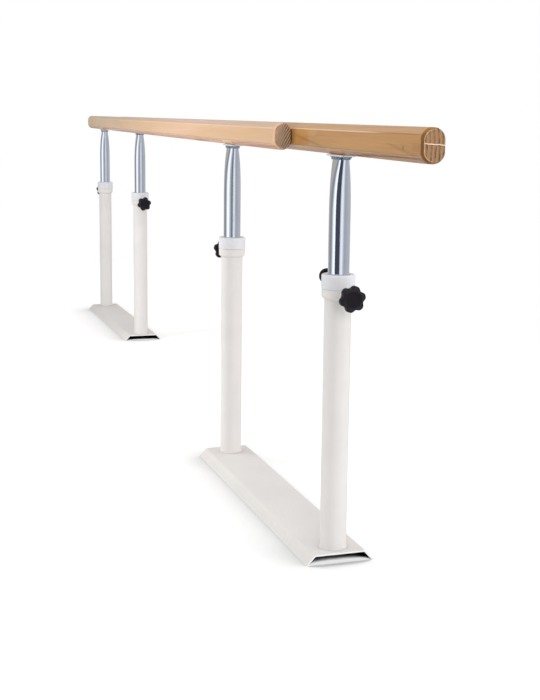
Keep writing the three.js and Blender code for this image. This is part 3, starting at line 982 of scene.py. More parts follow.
def mark_rail(mesh, settings, low, high, size):
    """Marks for the material: end grain, the left part of the rounded ends, the lip round the
    flat end, and the long corners beside the rail's faces."""
    centre = (low + high) / 2
    half = (high - low) / 2
    side_corner = Vector((half.y, half.z - settings.chamfer))
    foot_corner = Vector((half.y - settings.chamfer, half.z))
    beside = settings.easing * 0.3
    flat_end = settings.end_rounding * 0.8
    rim_depth = settings.right_rim if centre.y < 0 else flat_end
    last = len(mesh.vertices) // size - 1
    masks = {name: [0.0] * len(mesh.vertices) for name in RAIL_MASKS}
    for i, vert in enumerate(mesh.vertices):
        depth = min(vert.co.x - low.x, high.x - vert.co.x)
        offset = vert.co - centre
        leftward = min(max((offset.y / half.y + 0.15) / 0.5, 0), 1)
        if depth < settings.end_rounding * 0.01:
            masks["end"][i] = 1
            masks["lip"][i] = leftward if i // size in (1, last - 1) else 0
        elif depth < rim_depth:
            masks["end"][i] = 1 - leftward if depth < flat_end else 0
            masks["rim"][i] = leftward
        around_axis = Vector((abs(offset.y), abs(offset.z)))
        if (around_axis - side_corner).length < beside and depth > settings.end_rounding * 1.5:
            masks["corner"][i] = math.copysign(1, offset.z)
        elif offset.z < 0 and (around_axis - foot_corner).length < beside:
            masks["corner"][i] = -0.45
    for name, values in masks.items():
        marked(mesh, name, values)


class BARS_OT_handrails(Operator):
    """Make the two wooden handrails"""

    bl_idname = "bars.handrails"
    bl_label = "Handrails"

    def execute(self, context):
        for side, slot in (("right", "wood_tan"), ("left", "wood_beech")):
            mesh = handrail_mesh(bars().rails, side)
            piece(
                f"{side}_rail_bar", mesh, f"{side}_rail", rail_wood(side), [f"{side}_handrail"])
        return {"FINISHED"}


# Inner tubes


def pinched_tube_tree():
    """A round tube that is pressed flat towards its top while its girth stays the same: each
    section is two half rounds joined by straight sides."""
    tree, given, out = geometry("Pinched tube", {
        "Radius": 0.019, "Wall": 0.002, "Bottom": 0.0, "Top": 0.5, "Pinch": 0.1, "Land": 0.006,
        "Narrow": 0.5, "Rows": 100, "Sides": 64,
    })
    radius, wall, top = given["Radius"], given["Wall"], given["Top"]
    height = top - given["Bottom"]
    path = node(tree, "GeometryNodeCurvePrimitiveCircle", inputs={
        "Resolution": given["Sides"], "Radius": radius - wall * 0.5})
    section = node(tree, "GeometryNodeCurvePrimitiveQuadrilateral", inputs={
        "Width": wall, "Height": height})
    section = node(tree, "GeometryNodeSubdivideCurve", section, given["Rows"])
    mesh = node(tree, "GeometryNodeCurveToMesh", inputs={"Curve": path, "Profile Curve": section})
    x, y, z = points_of(tree)
    z = z + (given["Bottom"] + height * 0.5)
    reach = maths("SQRT", x * x + y * y)
    inset = radius - reach
    cosine, sine = x / reach, y / reach
    along = clamped((top - z - given["Land"]) / given["Pinch"])
    squeeze = (1.0 - along) ** 3.0 * (1.0 - given["Narrow"])
    half_width = radius * (1.0 - squeeze)
    straight = (radius - half_width) * QUARTER_TURN
    girth = maths("ARCCOSINE", abs(cosine)) * radius
    arc = least(girth / half_width, QUARTER_TURN)
    past = most(girth - half_width * QUARTER_TURN, 0.0)
    inner = half_width - inset
    x = (straight + inner * maths("COSINE", arc) - past) * maths("SIGN", cosine)
    y = inner * maths("SINE", arc) * maths("SIGN", sine)
    return ended(moved(mesh, x, y, z), given, out)


class BARS_OT_inner_tubes(Operator):
    """Make the four chrome tubes that slide in the posts"""

    bl_idname = "bars.inner_tubes"
    bl_label = "Inner tubes"

    def execute(self, context):
        tubes = bars().tubes
        mesh = grown(
            "inner_tube", pinched_tube_tree(), Material=chrome(), Radius=tubes.radius,
            Wall=tubes.wall, Bottom=TUBE_FOOT, Top=TUBE_TOP, Pinch=tubes.pinch, Land=tubes.land,
            Narrow=tubes.narrow, Rows=tubes.rows, Sides=72)
        on_posts("chrome_tube", close(mesh, 60), rail_of, chrome(), ["inner_tube"], rail_place)
        return {"FINISHED"}


# Outer tubes, clamp rings and swivel caps


def weld_bead_tree():
    """Ripples of a weld bead round a tube: short round beads that overlap along a circle."""
    tree, given, out = geometry("Weld bead", {
        "Radius": 0.025, "Size": 0.0035, "Height": 0.018, "Base": 0.018, "Ripples": 46, "Seed": 3})
    path = node(tree, "GeometryNodeCurvePrimitiveCircle", inputs={
        "Resolution": given["Ripples"], "Radius": given["Radius"]})
    points = node(tree, "GeometryNodeCurveToPoints", mode="EVALUATED", inputs={"Curve": path})
    bead = node(tree, "GeometryNodeMeshUVSphere", inputs={
        "Segments": 12, "Rings": 7, "Radius": given["Size"]})
    beads = node(tree, "GeometryNodeInstanceOnPoints", inputs={
        "Points": points, "Instance": bead, "Rotation": points["Rotation"],
        "Scale": chance(tree, given["Seed"], 0.9, 1.08)})
    mesh = node(tree, "GeometryNodeRealizeInstances", lifted(beads, given["Height"]))
    x, y, z = points_of(tree)
    return ended(moved(mesh, x, y, most(z, given["Base"])), given, out)


def outer_tube_mesh(settings):
    posts = settings.posts
    bore = posts.radius - posts.wall
    rise, skirt, past = posts.weld * 0.35, posts.radius + posts.weld, 0.002
    tube = turned("outer_tube", [
        (skirt, OUTER_FOOT, 0.0003), (posts.radius + rise, OUTER_FOOT + rise, 0.0008),
        (posts.radius, OUTER_FOOT + posts.weld, 0), (posts.radius, OUTER_TOP, 0.0005),
        (bore, OUTER_TOP, 0.0005), (bore, OUTER_FOOT, 0),
    ], ring=True)
    hole = rod(settings.knobs.stud_radius + RUN_GAP, bore - past, posts.radius + past, KNOB_AXIS)
    return carved(tube, hole)


def clamp_ring_mesh(settings):
    posts = settings.posts
    bore, end = posts.radius + RUN_GAP, posts.boss_reach
    root = (bore + posts.ring_radius) / 2
    ring = turned("clamp_ring", [
        (bore + 0.0004, RING_FOOT, 0.0003), (posts.ring_radius, RING_FOOT + posts.ring_taper, 0.0012),
        (posts.ring_radius, RING_TOP, 0.0007), (bore, RING_TOP, 0.0003), (bore, RING_FOOT, 0),
    ], ring=True)
    boss = turned("boss", [
        (0, root, 0), (posts.boss_radius, root, 0), (posts.boss_radius, end, 0.001), (0, end, 0),
    ], 64)
    ring = carved(ring, outward(boss, KNOB_AXIS), "UNION")
    return carved(ring, rod(settings.knobs.stud_radius + RUN_GAP, 0, end + 0.002, KNOB_AXIS))


def swivel_cap_mesh(settings):
    caps = settings.caps
    neck = settings.posts.radius + RUN_GAP
    dish = CAP_TOP - 0.0006
    crown = CAP_TOP - caps.crown
    return turned("swivel_cap", [
        (caps.radius, CAP_FOOT, 0.0006), (caps.radius, CAP_TOP, caps.rounding),
        (caps.radius - 0.0048, CAP_TOP, 0.0012), (caps.bore + 0.0028, dish, 0.001),
        (caps.bore + 0.0008, dish, 0.0006), (caps.bore, CAP_TOP - 0.0016, 0.0006),
        (caps.bore, crown, 0.0004), (neck, crown, 0), (neck, CAP_FOOT, 0.0003),
    ], 128, ring=True)


class BARS_OT_outer_tubes(Operator):
    """Make the four white outer tubes with the weld beads round their feet"""

    bl_idname = "bars.outer_tubes"
    bl_label = "Outer tubes"

    def execute(self, context):
        posts = bars().posts
        coat = powder_coat()
        bead = grown(
            "weld_bead", weld_bead_tree(), Material=coat, Radius=posts.radius + posts.weld * 0.25,
            Size=posts.weld * 0.9, Height=OUTER_FOOT - posts.weld * 0.5, Base=OUTER_FOOT,
            Ripples=posts.ripples)
        bead.polygons.foreach_set("use_smooth", [True] * len(bead.polygons))
        tube = outer_tube_mesh(bars())
        on_posts("white_tube", tube, base_of, coat, ["outer_tube"], post_place)
        on_posts("weld_bead", bead, base_of, coat, [], post_place)
        return {"FINISHED"}


class BARS_OT_clamp_rings(Operator):
    """Make the four tapered clamp rings with their bosses"""

    bl_idname = "bars.clamp_rings"
    bl_label = "Clamp rings"

    def execute(self, context):
        ring = clamp_ring_mesh(bars())
        on_posts("collar", ring, base_of, powder_coat(), ["clamp_ring"], post_place)
        return {"FINISHED"}


class BARS_OT_swivel_caps(Operator):
    """Make the four white caps that turn on the posts"""

    bl_idname = "bars.swivel_caps"
    bl_label = "Swivel caps"

    def execute(self, context):
        settings = bars()
        past = 0.002
        hole = rod(0.0063, -settings.caps.radius - past, past - settings.posts.radius, STOP_AXIS)
        plain = swivel_cap_mesh(settings)
        holed = carved(plain.copy(), hole)
        for post in POSTS:
            piece(
                f"{post}_cap", holed if post == NEAR_RIGHT else plain, guides_of(post),
                cap_plastic(), [f"{post}_swivel_cap"], post_place(post))
        return {"FINISHED"}


# Star knobs and threaded studs


def star_knob_mesh(settings):
    """A moulded star: loops from the end of the stud's hole, round the hub and out over the
    lobes to the dished face. Worn edges are marked for the material."""
    knobs = settings.knobs
    sides = knobs.lobes * 20
    phase = knobs.phase * math.pi
    hole, hub, disc = knobs.stud_radius + RUN_GAP, knobs.hub_radius, knobs.disc_radius
    reach, back, front = knobs.hub_reach, knobs.back_reach, knobs.back_reach + knobs.thickness
    shoulder = front - knobs.slope
    r = knobs.rounding
    loops, marks = [], []

    def turn_loop(radius, height, mark=0.0):
        loops.append(circle(radius, height, sides, phase))
        marks.extend([mark] * sides)

    def star_loop(inset, height, mark=0.0, round_share=0.0, round_radius=0.0):
        loop = []
        for i in range(sides):
            angle = WHOLE_TURN * i / sides
            hollow = ((1 - math.cos(angle * knobs.lobes)) / 2) ** 1.6
            radius = knobs.radius - inset - knobs.lobe * hollow
            radius += (round_radius - radius) * round_share
            loop.append((radius * math.cos(angle + phase), radius * math.sin(angle + phase), height))
        loops.append(loop)
        marks.extend([mark] * sides)

    turn_loop(hole, reach + 0.0153)
    turn_loop(hole, reach + 0.0004)
    turn_loop(hole + 0.0004, reach)
    turn_loop(hub - 0.0022, reach)
    turn_loop(hub - 0.0017, reach + 0.0002, 0.6)
    turn_loop(hub - 0.0015, reach + 0.0007, 0.5)
    fillet = 0.0018
    turn_loop(hub - 0.0003, back - fillet)
    for turn in turns(4, first=1):
        turn_loop(hub + 0.0015 * (1 - math.cos(turn)), back - fillet + fillet * math.sin(turn))
    for turn in turns(6):
        inset = r * (1 - math.sin(turn)) + (0.0012 if turn == 0 else 0)
        star_loop(inset, back + r * (1 - math.cos(turn)), 0.9 * math.sin(turn * 2))
    star_loop(-0.0001, (back + shoulder) / 2, 0.1)
    for turn in turns(6)[::-1]:
        star_loop(
            r * (1 - math.sin(turn)), shoulder - r * (1 - math.cos(turn)), 0.5 + 0.5 * math.sin(turn * 2))
    edge = disc + 0.0004
    for on in (k / 5 for k in range(1, 5)):
        star_loop(r, shoulder + knobs.slope * 0.8 * on, 0.9, on, edge)
    turn_loop(edge, front - knobs.slope * 0.12, 0.9)
    turn_loop(disc, front, 0.6)
    dish = disc - 0.0005
    turn_loop(dish, front, 0.2)
    for on in (k / 8 for k in range(1, 9)):
        turn_loop(dish * (1 - on) + 0.0008 * on, front - knobs.dish * math.sin(QUARTER_TURN * on))
    return outward(close(marked(skin("star_knob", loops), "edge", marks), 50), KNOB_AXIS)


@cache
def threaded_stud_tree():
    """A rod along Z whose surface follows a helix, with its ends turned to a cone."""
    tree, given, out = geometry("Threaded stud", {
        "Radius": 0.005, "Pitch": 0.0015, "Start": 0.0, "End": 0.03, "Rows": 160, "Sides": 24})
    radius, pitch = given["Radius"], given["Pitch"]
    run = given["End"] - given["Start"]
    mesh = node(tree, "GeometryNodeMeshCylinder", inputs={
        "Vertices": given["Sides"], "Side Segments": given["Rows"], "Radius": radius, "Depth": run})
    x, y, z = points_of(tree)
    reach = most(maths("SQRT", x * x + y * y), 0.00001)
    turn = maths("ARCTAN2", y, x) / WHOLE_TURN
    crest = maths("PINGPONG", z / pitch - turn, 0.5)
    cone = radius * 0.75 + (run * 0.5 - abs(z))
    surface = least(radius - crest * 1.1 * pitch, cone)
    factor = least(surface, reach) / reach
    centre = (given["Start"] + given["End"]) * 0.5
    return ended(moved(mesh, x * factor, y * factor, z + centre), given, out)


def stud_mesh(radius, pitch, end, height):
    """A stud from the brake pad or the soft tip out to a knob."""
    start = bars().tubes.radius + 0.0036
    mesh = grown(
        "stud", threaded_stud_tree(), Material=zinc_plate(), Radius=radius, Pitch=pitch,
        Start=start, End=end, Rows=int((end - start) / pitch * 8), Sides=24)
    return outward(close(mesh, 70), height)


class BARS_OT_star_knobs(Operator):
    """Make the four star knobs and their threaded studs"""

    bl_idname = "bars.star_knobs"
    bl_label = "Star knobs"

    def execute(self, context):
        knobs = bars().knobs
        star = star_knob_mesh(bars())
        stud = stud_mesh(knobs.stud_radius, knobs.pitch, knobs.hub_reach + 0.015, KNOB_AXIS)
        on_posts("knob_star", star, knob_of, knob_plastic(), ["star_knob"], post_place)
        on_posts("clamp_stud", stud, knob_of, zinc_plate(), ["knob_stud"], post_place)
        return {"FINISHED"}


# Brackets and their screws


def border(inside, height, sides=160):
    """Points at even angles about the middle, as far out as a test of (x, y) holds."""
    points = []
    for i in range(sides):
        angle = WHOLE_TURN * (i + 0.5) / sides
        along, across = math.cos(angle), math.sin(angle)
        low, high = 0.0, 0.1
        for _ in range(40):
            reach = (low + high) / 2
            within = inside(abs(reach * along), abs(reach * across))
            low, high = (reach, high) if within else (low, reach)
        points.append((low * along, low * across, height))
    return points


def bracket_mesh(settings):
    """A pressed plate with a drawn oval socket below it, which holds the tube's flat end."""
    brackets, tubes = settings.brackets, settings.tubes
    top, plate, rim = BRACKET_TOP, BRACKET_TOP - brackets.sheet, BRACKET_FOOT
    radius = tubes.radius * tubes.narrow + RUN_GAP
    outer = radius + brackets.socket_wall
    straight = (tubes.radius - tubes.radius * tubes.narrow) * math.pi / 2
    edge, draw = 0.0005, 0.0016

    def oval(reach, height):
        return border(lambda x, y: math.hypot(max(x - straight, 0), y) < reach, height)

    def rectangle(inset, height):
        corner = brackets.corner - inset
        half_length = (brackets.length - inset * 2) / 2 - corner
        half_width = (brackets.width - inset * 2) / 2 - corner

        def inside(x, y):
            u, v = x - half_length, y - half_width
            return math.hypot(max(u, 0), max(v, 0)) + min(max(u, v), 0) < corner

        return border(inside, height)

    loops = [oval(radius, plate), oval(radius, rim + edge)]
    mid, half = (radius + outer) / 2, (outer - radius) / 2
    for turn in turns(4, math.pi):
        loops.append(oval(mid - half * math.cos(turn), rim + edge - edge * math.sin(turn)))
    limits = rectangle(0, plate)
    for turn in turns(4):
        loop = oval(outer + draw * (1 - math.cos(turn)), plate - draw * (1 - math.sin(turn)))
        for i, (x, y, z) in enumerate(loop):
            within = min(1, (math.hypot(*limits[i][:2]) - edge - 0.0001) / math.hypot(x, y))
            loop[i] = (x * within, y * within, z)
        loops.append(loop)
    bevel = edge * 0.3
    loops += [
        rectangle(edge, plate), rectangle(bevel, plate + bevel), rectangle(0, plate + edge),
        rectangle(0, top - edge), rectangle(bevel, top - bevel), rectangle(edge, top),
    ]
    mesh = close(skin("bracket", loops), 40)
    # The flat plate is marked for a painted highlight in the material
    return marked(mesh, "edge", [float(vert.co.z > plate - 0.0001) for vert in mesh.vertices])


def screw_mesh(settings):
    """A pan-head screw, point up, with a cross recess in its head and a plain shank."""
    brackets = settings.brackets
    radius, height = brackets.head_radius, brackets.head_height
    arm_width, arm_length, recess = 0.0005, 0.0019, height * 0.6
    sides, rings = 48, 16
    loops = []
    for ring in range(rings + 1):
        reach = max(radius * ring / rings, 0.00005)
        dome = -height * (0.5 if ring == rings else 1 - 0.45 * (ring / rings) ** 3)
        loop = []
        for x, y, _ in circle(reach, 0, sides):
            flank = min(max((arm_width - min(abs(x), abs(y))) / 0.00025, 0), 1)
            tip = min(max((arm_length - max(abs(x), abs(y))) / 0.001, 0), 1)
            loop.append((x, y, dome + flank * tip * recess))
        loops.append(loop)
    shank, point = brackets.shank_radius, SCREW_TOP - SCREW_FOOT - height
    for reach, rise in ((radius, 0), (shank, 0), (shank, point - 0.006), (0.0001, point)):
        loops.append(circle(reach, rise, sides))
    return close(skin("screw", loops), 40)


def screw_row_tree():
    """One screw at each corner of a bracket, each turned by chance."""
    tree, given, out = geometry("Bracket screws", {
        "Screw": "NodeSocketObject", "Along": 0.049, "Across": 0.028, "Height": 0.7, "Seed": 1})
    corners = node(tree, "GeometryNodeMeshGrid", inputs={
        "Size X": given["Along"], "Size Y": given["Across"], "Vertices X": 2, "Vertices Y": 2})
    screw = node(tree, "GeometryNodeObjectInfo", inputs={"Object": given["Screw"]})["Geometry"]
    turn = chance(tree, given["Seed"], 0.0, WHOLE_TURN)
    screws = node(tree, "GeometryNodeInstanceOnPoints", inputs={
        "Points": corners, "Instance": screw, "Rotation": joined(tree, 0.0, 0.0, turn)})
    return ended(lifted(screws, given["Height"]), given, out)


class BARS_OT_brackets(Operator):
    """Make the four brackets under the rails"""

    bl_idname = "bars.brackets"
    bl_label = "Brackets"

    def execute(self, context):
        mesh = bracket_mesh(bars())
        on_posts("rail_bracket", mesh, rail_of, zinc_plate(), ["bracket"], rail_place)
        return {"FINISHED"}


class BARS_OT_screws(Operator):
    """Make the four screws of each bracket"""

    bl_idname = "bars.screws"
    bl_label = "Screws"

    def execute(self, context):
        brackets = bars().brackets
        pattern = added("screw_pattern", screw_mesh(bars()))
        tree = screw_row_tree()
        for seed, post in enumerate(POSTS):
            mesh = grown(
                "screws", tree, Material=zinc_plate(), Screw=pattern, Along=brackets.screw_along,
                Across=brackets.screw_across, Height=BRACKET_TOP - brackets.sheet - RUN_GAP, Seed=seed)
            piece(
                f"{post}_screws", close(mesh, 40), rail_of(post), zinc_plate(),
                [f"{post}_screw_{i}" for i in (1, 2, 3, 4)], rail_place(post))
        bpy.data.objects.remove(pattern)
        return {"FINISHED"}


# Base plates


def plate_section(plates):
    """The folded sheet from end to end: its outside, then its inside."""
    foot, crest, edge = plates.foot_width / 2, plates.top_width / 2, plates.edge
    slope = math.atan2(PLATE_TOP, (plates.foot_width - plates.top_width) / 2)
    lip = foot - plates.sheet / math.sin(slope)
    inner_x = crest - plates.sheet * math.tan(slope / 2)
    inner_top = PLATE_TOP - plates.sheet
    inner_bend = plates.bend - plates.sheet
    return rounded([
        (-foot, 0, 0), (-lip, 0, edge), (-inner_x, inner_top, inner_bend),
        (inner_x, inner_top, inner_bend), (lip, 0, edge), (foot, 0, 0),
        (crest, PLATE_TOP, plates.bend), (-crest, PLATE_TOP, plates.bend),
    ], 8)


def base_plate_mesh(plates, end):
    """A folded sheet under two posts. Its inner faces and its sawn ends are marked for the
    material, which paints the inner faces dark as shade and the sawn ends pale as a highlight."""
    centre, span, angle = plate_line(end)
    half = span / 2 + plates.overhang
    section = plate_section(plates)
    loops = [[(x, y, z) for y, z in section] for x in (-half, -half / 2, 0, half / 2, half)]
    shape = added("base_plate", close(skin("base_plate", loops), 30))
    bevel = shape.modifiers.new("edges", "BEVEL")
    bevel.width = plates.edge
    bevel.segments = 3
    bevel.limit_method = "ANGLE"
    bevel.angle_limit = math.radians(40)
    mesh = smoothed(evaluated(shape), 35)
    marked(mesh, "inside", [
        face.center.z > plates.edge and (face.normal.z < -0.5 or face.normal.y * face.center.y < -0.001)
        for face in mesh.polygons
    ], "FACE")
    marked(mesh, "cut", [abs(face.normal.x) > 0.7 for face in mesh.polygons], "FACE")
    mesh.transform(Matrix.Translation((*centre, 0)) @ Matrix.Rotation(angle, 4, "Z"))
    return mesh


class BARS_OT_base_plates(Operator):
    """Make the two folded base plates"""

    bl_idname = "bars.base_plates"
    bl_label = "Base plates"

    def execute(self, context):
        for end in ("near", "far"):
            mesh = base_plate_mesh(bars().plates, end)
            piece(f"{end}_plate", mesh, f"{end}_base", powder_coat(), [f"{end}_base_plate"])
        return {"FINISHED"}


# Stop screw


class BARS_OT_stop_screw(Operator):
    """Make the stop screw's knob, stud and threaded insert"""

    bl_idname = "bars.stop_screw"
    bl_label = "Stop screw"

    def execute(self, context):
        settings = bars()
        stop = settings.stop
        place = stop_place()
        hole, reach, head = stop.stud_radius + RUN_GAP, stop.hub_reach, stop.head_reach
        face = head + stop.thickness
        knob = turned("stop_knob", [
            (0, reach + 0.0173, 0), (hole, reach + 0.0173, 0), (hole, reach, 0.0003),
            (stop.neck_radius, reach, 0.0006), (stop.neck_radius, head, 0.0015),
            (stop.radius, head, stop.rounding), (stop.radius, face, stop.rounding),
            (stop.radius * 0.4, face, 0.004), (0, face - 0.0004, 0),
        ], steps=6)
        piece(
            "stop_knob_round", outward(knob, STOP_AXIS), "stop_knob", knob_plastic(),
            ["stop_screw_knob"], place)
        stud = stud_mesh(stop.stud_radius, stop.pitch, reach + 0.017, STOP_AXIS)
        piece("stop_knob_stud", stud, "stop_knob", zinc_plate(), ["stop_screw_stud"], place)
        inner, flange = settings.posts.radius + 0.0006, settings.caps.radius + RUN_GAP
        rim = flange + 0.0015
        insert = turned("insert", [
            (0.006, inner, 0.0004), (0.006, flange, 0), (0.0075, flange, 0.0003),
            (0.0075, rim, 0.0005), (hole, rim, 0.0003), (hole, inner, 0.0003),
        ], 64, ring=True)
        piece(
            "cap_insert", outward(insert, STOP_AXIS), guides_of(NEAR_RIGHT), brass(),
            ["stop_screw_insert"], place)
        return {"FINISHED"}


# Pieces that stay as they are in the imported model


class BARS_OT_hidden_plastic(Operator):
    """Finish the bushes, brake pads and the soft tip inside the posts"""

    bl_idname = "bars.hidden_plastic"
    bl_label = "Bushes and pads"

    def execute(self, context):
        for name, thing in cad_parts.items():
            if name.endswith(("guide_bush", "brake_pad", "screw_tip")):
                thing.data.materials.clear()
                thing.data.materials.append(bush_plastic())
        return {"FINISHED"}


# Stage


def lamp(name, power, size, place, target):
    light = bpy.data.lights.new(name, "AREA")
    light.energy = power
    light.shape = "RECTANGLE"
    light.size, light.size_y = size
    holder = added(name, light)
    holder.location = place
    holder.rotation_mode = "QUATERNION"
    holder.rotation_quaternion = (Vector(target) - Vector(place)).to_track_quat("-Z", "Y")
    holder.visible_glossy = False
    holder.visible_camera = False


def sheet(name, corners):
    """A flat piece of the stage, with a material whose tree is empty."""
    mesh = bpy.data.meshes.new(name)
    mesh.from_pydata(corners, [], [(0, 1, 2, 3)])
    material, tree = bare(name)
    mesh.materials.append(material)
    return added(name, mesh), tree


def glow(tree, level):
    return node(tree, "ShaderNodeEmission", (level, level, level, 1), 1.0)


def make_floor(settings):
    """A pale floor that keeps the shadow of the bars and is white to the camera elsewhere."""
    x, y, z = 3.4, 2.2, -0.0004
    floor, tree = sheet("floor", [(-x, -y, z), (x, -y, z), (x, y, z), (-x, y, z)])
    path = node(tree, "ShaderNodeLightPath")
    east, north, _ = split(node(tree, "ShaderNodeTexCoord")["Object"])
    # Soft shade on the side of the plates that is turned from the key lamp
    beside = node(tree, "ShaderNodeAmbientOcclusion", samples=12, inputs={
        "Distance": 0.11, "Normal": joined(tree, -0.1, -0.97, 0.2)})["AO"]
    above = node(tree, "ShaderNodeAmbientOcclusion", samples=32, inputs={"Distance": 0.06})["AO"]
    shade = beside * settings.shade + (1 - settings.shade)
    # Painted shade in front of the plates' open ends and deep under them. The floor is lifted further
    # along the bars, where the lamps fall off
    shade = shade * ease(above, 0.72, 0.88, 0.7, 1.0)
    shade = shade * ease(above, 0.08, 0.15, 0.03, 1.0)
    shade = shade * ease(east, -0.6, 3.0, 1.0, 1.24)
    level = shade * ease(path["Is Camera Ray"], 0.0, 1.0, settings.lift * 0.6, settings.lift)
    lifted_floor = node(tree, "ShaderNodeBsdfDiffuse", joined(tree, level, level, level))
    # A painted glow on the floor just inside the open ends of the plates, standing in for the light that
    # falls in
    mouth = ease(above, 0.5, 0.62, 1.0, 0.0) * ease(above, 0.1, 0.16)
    lifted_floor = node(tree, "ShaderNodeMixShader", mouth, lifted_floor, glow(tree, 0.79))
    beyond = most(ease(abs(east), 2.3, 3.2), ease(abs(north), 0.9, 1.7)) * path["Is Camera Ray"]
    lifted_floor = node(tree, "ShaderNodeMixShader", beyond, lifted_floor, glow(tree, 1))
    seen = most(path["Is Camera Ray"], most(path["Is Glossy Ray"], path["Is Transmission Ray"]))
    plain = node(tree, "ShaderNodeBsdfDiffuse", settings.floor)
    node(tree, "ShaderNodeOutputMaterial", node(
        tree, "ShaderNodeMixShader", seen, plain, lifted_floor))


def make_reflector(settings):
    """A dark card left of the near end, which polished metal and gloss see. At the height of
    the caps it also takes a little of the sky's light from the post beside it."""
    ends = ((-1.780, 0.55), (-2.101, 0.117))
    low, high = 0.05, 1.4
    card, tree = sheet("dark_card", [
        (*ends[0], low), (*ends[1], low), (*ends[1], high), (*ends[0], high)])
    height = split(node(tree, "ShaderNodeTexCoord")["Object"])[2]
    sky, dim = settings.sky, settings.sky * 0.72
    plain = most(ease(height, 0.08, 0.27, sky, dim), ease(height, 0.69, 0.88, dim, sky))
    path = node(tree, "ShaderNodeLightPath")
    # Painted reflection: the card is darker in what nearby pieces reflect than in what far pieces reflect
    near_tint, far_tint = (0.065, 0.07, 0.095, 1), (0.24, 0.26, 0.3, 1)
    tone = blended(ease(path["Ray Length"], 0.75, 1.25), near_tint, far_tint)
    seen = blended(path["Is Diffuse Ray"], tone, joined(tree, plain, plain, plain))
    node(tree, "ShaderNodeOutputMaterial", node(tree, "ShaderNodeEmission", seen, 1.0))
    card.visible_camera = False
    card.visible_shadow = False
    card.visible_transmission = False


def make_world(settings):
    """White to the camera, plain light for the pieces, and a room for the chrome to show."""
    world = bpy.data.worlds.new("studio")
    bpy.context.scene.world = world
    world.use_nodes = True
    tree = world.node_tree
    tree.nodes.clear()
    # The room round the bars by the compass: degrees, brightness, and how blue it is
    room_round = [
        (0, 0.52, -1.2), (16, 0.5, -1.2), (40, 0.38, 0.5), (62, 0.28, 1), (76, 0.42, 1), (90, 0.95, 1),
        (100, 1.3, 1), (117, 1.3, 1), (135, 0.6, 1), (152, 0.42, 1), (168, 0.5, 1), (181, 1.0, 1),
        (195, 1.0, 1), (207, 0.62, 1), (218, 0.43, 1), (235, 0.46, 1), (260, 0.52, 1), (290, 0.54, 1),
        (325, 0.52, 1), (345, 0.58, 0), (360, 0.52, -1.2),
    ]
    x, y, _ = split(node(tree, "ShaderNodeTexCoord")["Generated"])
    turn = maths("FRACT", maths("ARCTAN2", y, x) / WHOLE_TURN + 1.0)
    room = node(tree, "ShaderNodeValToRGB", turn)
    band = room.socket.node.color_ramp
    band.interpolation = "EASE"
    while len(band.elements) < len(room_round):
        band.elements.new(1)
    for stop, (angle, level, blue) in zip(band.elements, room_round):
        stop.position = angle / 360
        stop.color = (level, level * (1 + 0.04 * blue), level * (1 + 0.12 * blue), 1)

    def light(tone, strength):
        return node(tree, "ShaderNodeBackground", tone, strength)

    path, white = node(tree, "ShaderNodeLightPath"), (1, 1, 1, 1)
    mixed = node(
        tree, "ShaderNodeMixShader", path["Is Glossy Ray"], light(white, settings.sky), light(room, 1.0))
    mixed = node(tree, "ShaderNodeMixShader", path["Is Camera Ray"], mixed, light(white, 1.0))
    node(tree, "ShaderNodeOutputWorld", mixed)


def make_camera():
    """The camera stands left of the near end, at the photograph's viewing angle."""
    yaw, pitch, roll = (math.radians(a) for a in (-15.254, 9.651, 0.740))
    place = (-3.5094, 0.6500, 0.7951)
    width, height = 540, 700
    focal_pixels, centre_x, centre_y = 1226.80, 277.05, 323.54
    ahead = Vector((math.cos(yaw) * math.cos(pitch), math.sin(yaw) * math.cos(pitch), -math.sin(pitch)))
    level = Vector((math.sin(yaw), -math.cos(yaw), 0))
    upright = level.cross(ahead)
    right = level * math.cos(roll) + upright * math.sin(roll)
    up = upright * math.cos(roll) - level * math.sin(roll)
    lens = bpy.data.cameras.new("camera")
    lens.sensor_width = 36
    lens.lens = focal_pixels / height * lens.sensor_width
    lens.shift_x = (width / 2 - centre_x) / height
    lens.shift_y = (centre_y - height / 2) / height
    lens.clip_start, lens.clip_end = 0.05, 60
    camera = added("camera", lens)
    camera.matrix_world = Matrix.Translation(place) @ Matrix((right, up, -ahead)).transposed().to_4x4()
    bpy.context.scene.camera = camera


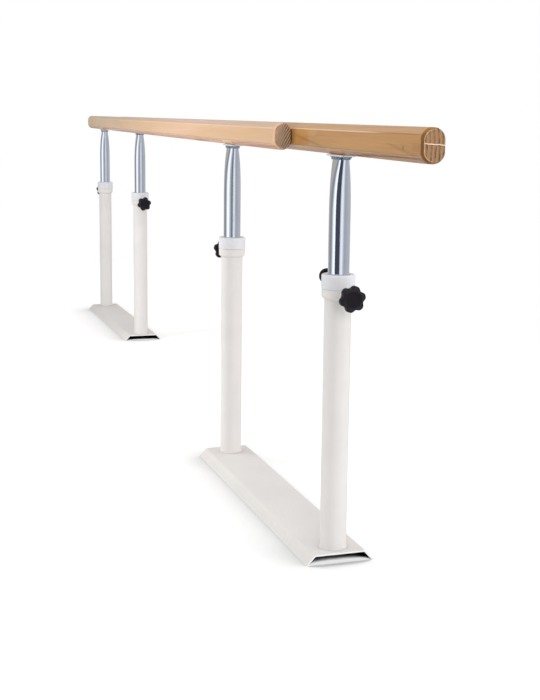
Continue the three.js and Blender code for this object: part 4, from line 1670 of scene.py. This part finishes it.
class BARS_OT_stage(Operator):
    """Make the floor, the lamps, the surroundings and the camera"""

    bl_idname = "bars.stage"
    bl_label = "Stage"

    def execute(self, context):
        settings = bars().stage
        context.scene.view_settings.view_transform = "Standard"
        make_floor(settings)
        make_world(settings)
        lamp("key", settings.key, (2.4, 2.2), (-3.2, -3.4, 1.25), (-0.9, 0, 0.3))
        lamp("front", settings.front, (1.2, 1.2), (-4.6, 0.2, 1.5), (-1.2, 0, 0.5))
        lamp("top", settings.top, (2.5, 2.5), (-1.5, 0.0, 3.2), (-0.8, 0, 0.5))
        lamp("side", settings.side, (0.9, 0.9), (0.0, 1.6, 0.65), (-0.8, 0, 0.35))
        make_reflector(settings)
        make_camera()
        return {"FINISHED"}


class BARS_PT_panel(Panel):
    """Settings and steps of the walking bars"""

    bl_idname = "BARS_PT_panel"
    bl_label = "Walking bars"
    bl_space_type = "VIEW_3D"
    bl_region_type = "UI"
    bl_category = "Bars"

    def draw(self, context):
        settings = context.scene.bars
        for part in STEPS:
            self.layout.operator(part.bl_idname)
        for name in settings.bl_rna.properties.keys():
            if name in ("rna_type", "name"):
                continue
            box = self.layout.box()
            box.label(text=settings.bl_rna.properties[name].name)
            chosen = getattr(settings, name)
            for setting in chosen.bl_rna.properties.keys():
                if setting not in ("rna_type", "name"):
                    box.prop(chosen, setting)


SETTINGS = (
    RailSettings, TubeSettings, PostSettings, CapSettings, KnobSettings, BracketSettings,
    PlateSettings, StopSettings, StageSettings, BarsSettings,
)
STEPS = (
    BARS_OT_stage, BARS_OT_handrails, BARS_OT_inner_tubes, BARS_OT_outer_tubes, BARS_OT_clamp_rings,
    BARS_OT_swivel_caps, BARS_OT_star_knobs, BARS_OT_brackets, BARS_OT_screws, BARS_OT_base_plates,
    BARS_OT_stop_screw, BARS_OT_hidden_plastic,
)


def register():
    for part in (*SETTINGS, *STEPS, BARS_PT_panel):
        bpy.utils.register_class(part)
    bpy.types.Scene.bars = PointerProperty(type=BarsSettings)


def unregister():
    del bpy.types.Scene.bars
    for part in reversed((*SETTINGS, *STEPS, BARS_PT_panel)):
        bpy.utils.unregister_class(part)


def main():
    register()
    bpy.ops.bars.stage()
    bpy.ops.bars.handrails()
    bpy.ops.bars.inner_tubes()
    bpy.ops.bars.outer_tubes()
    bpy.ops.bars.clamp_rings()
    bpy.ops.bars.swivel_caps()
    bpy.ops.bars.star_knobs()
    bpy.ops.bars.brackets()
    bpy.ops.bars.screws()
    bpy.ops.bars.base_plates()
    bpy.ops.bars.stop_screw()
    bpy.ops.bars.hidden_plastic()


if __name__ == "__main__":
    main()
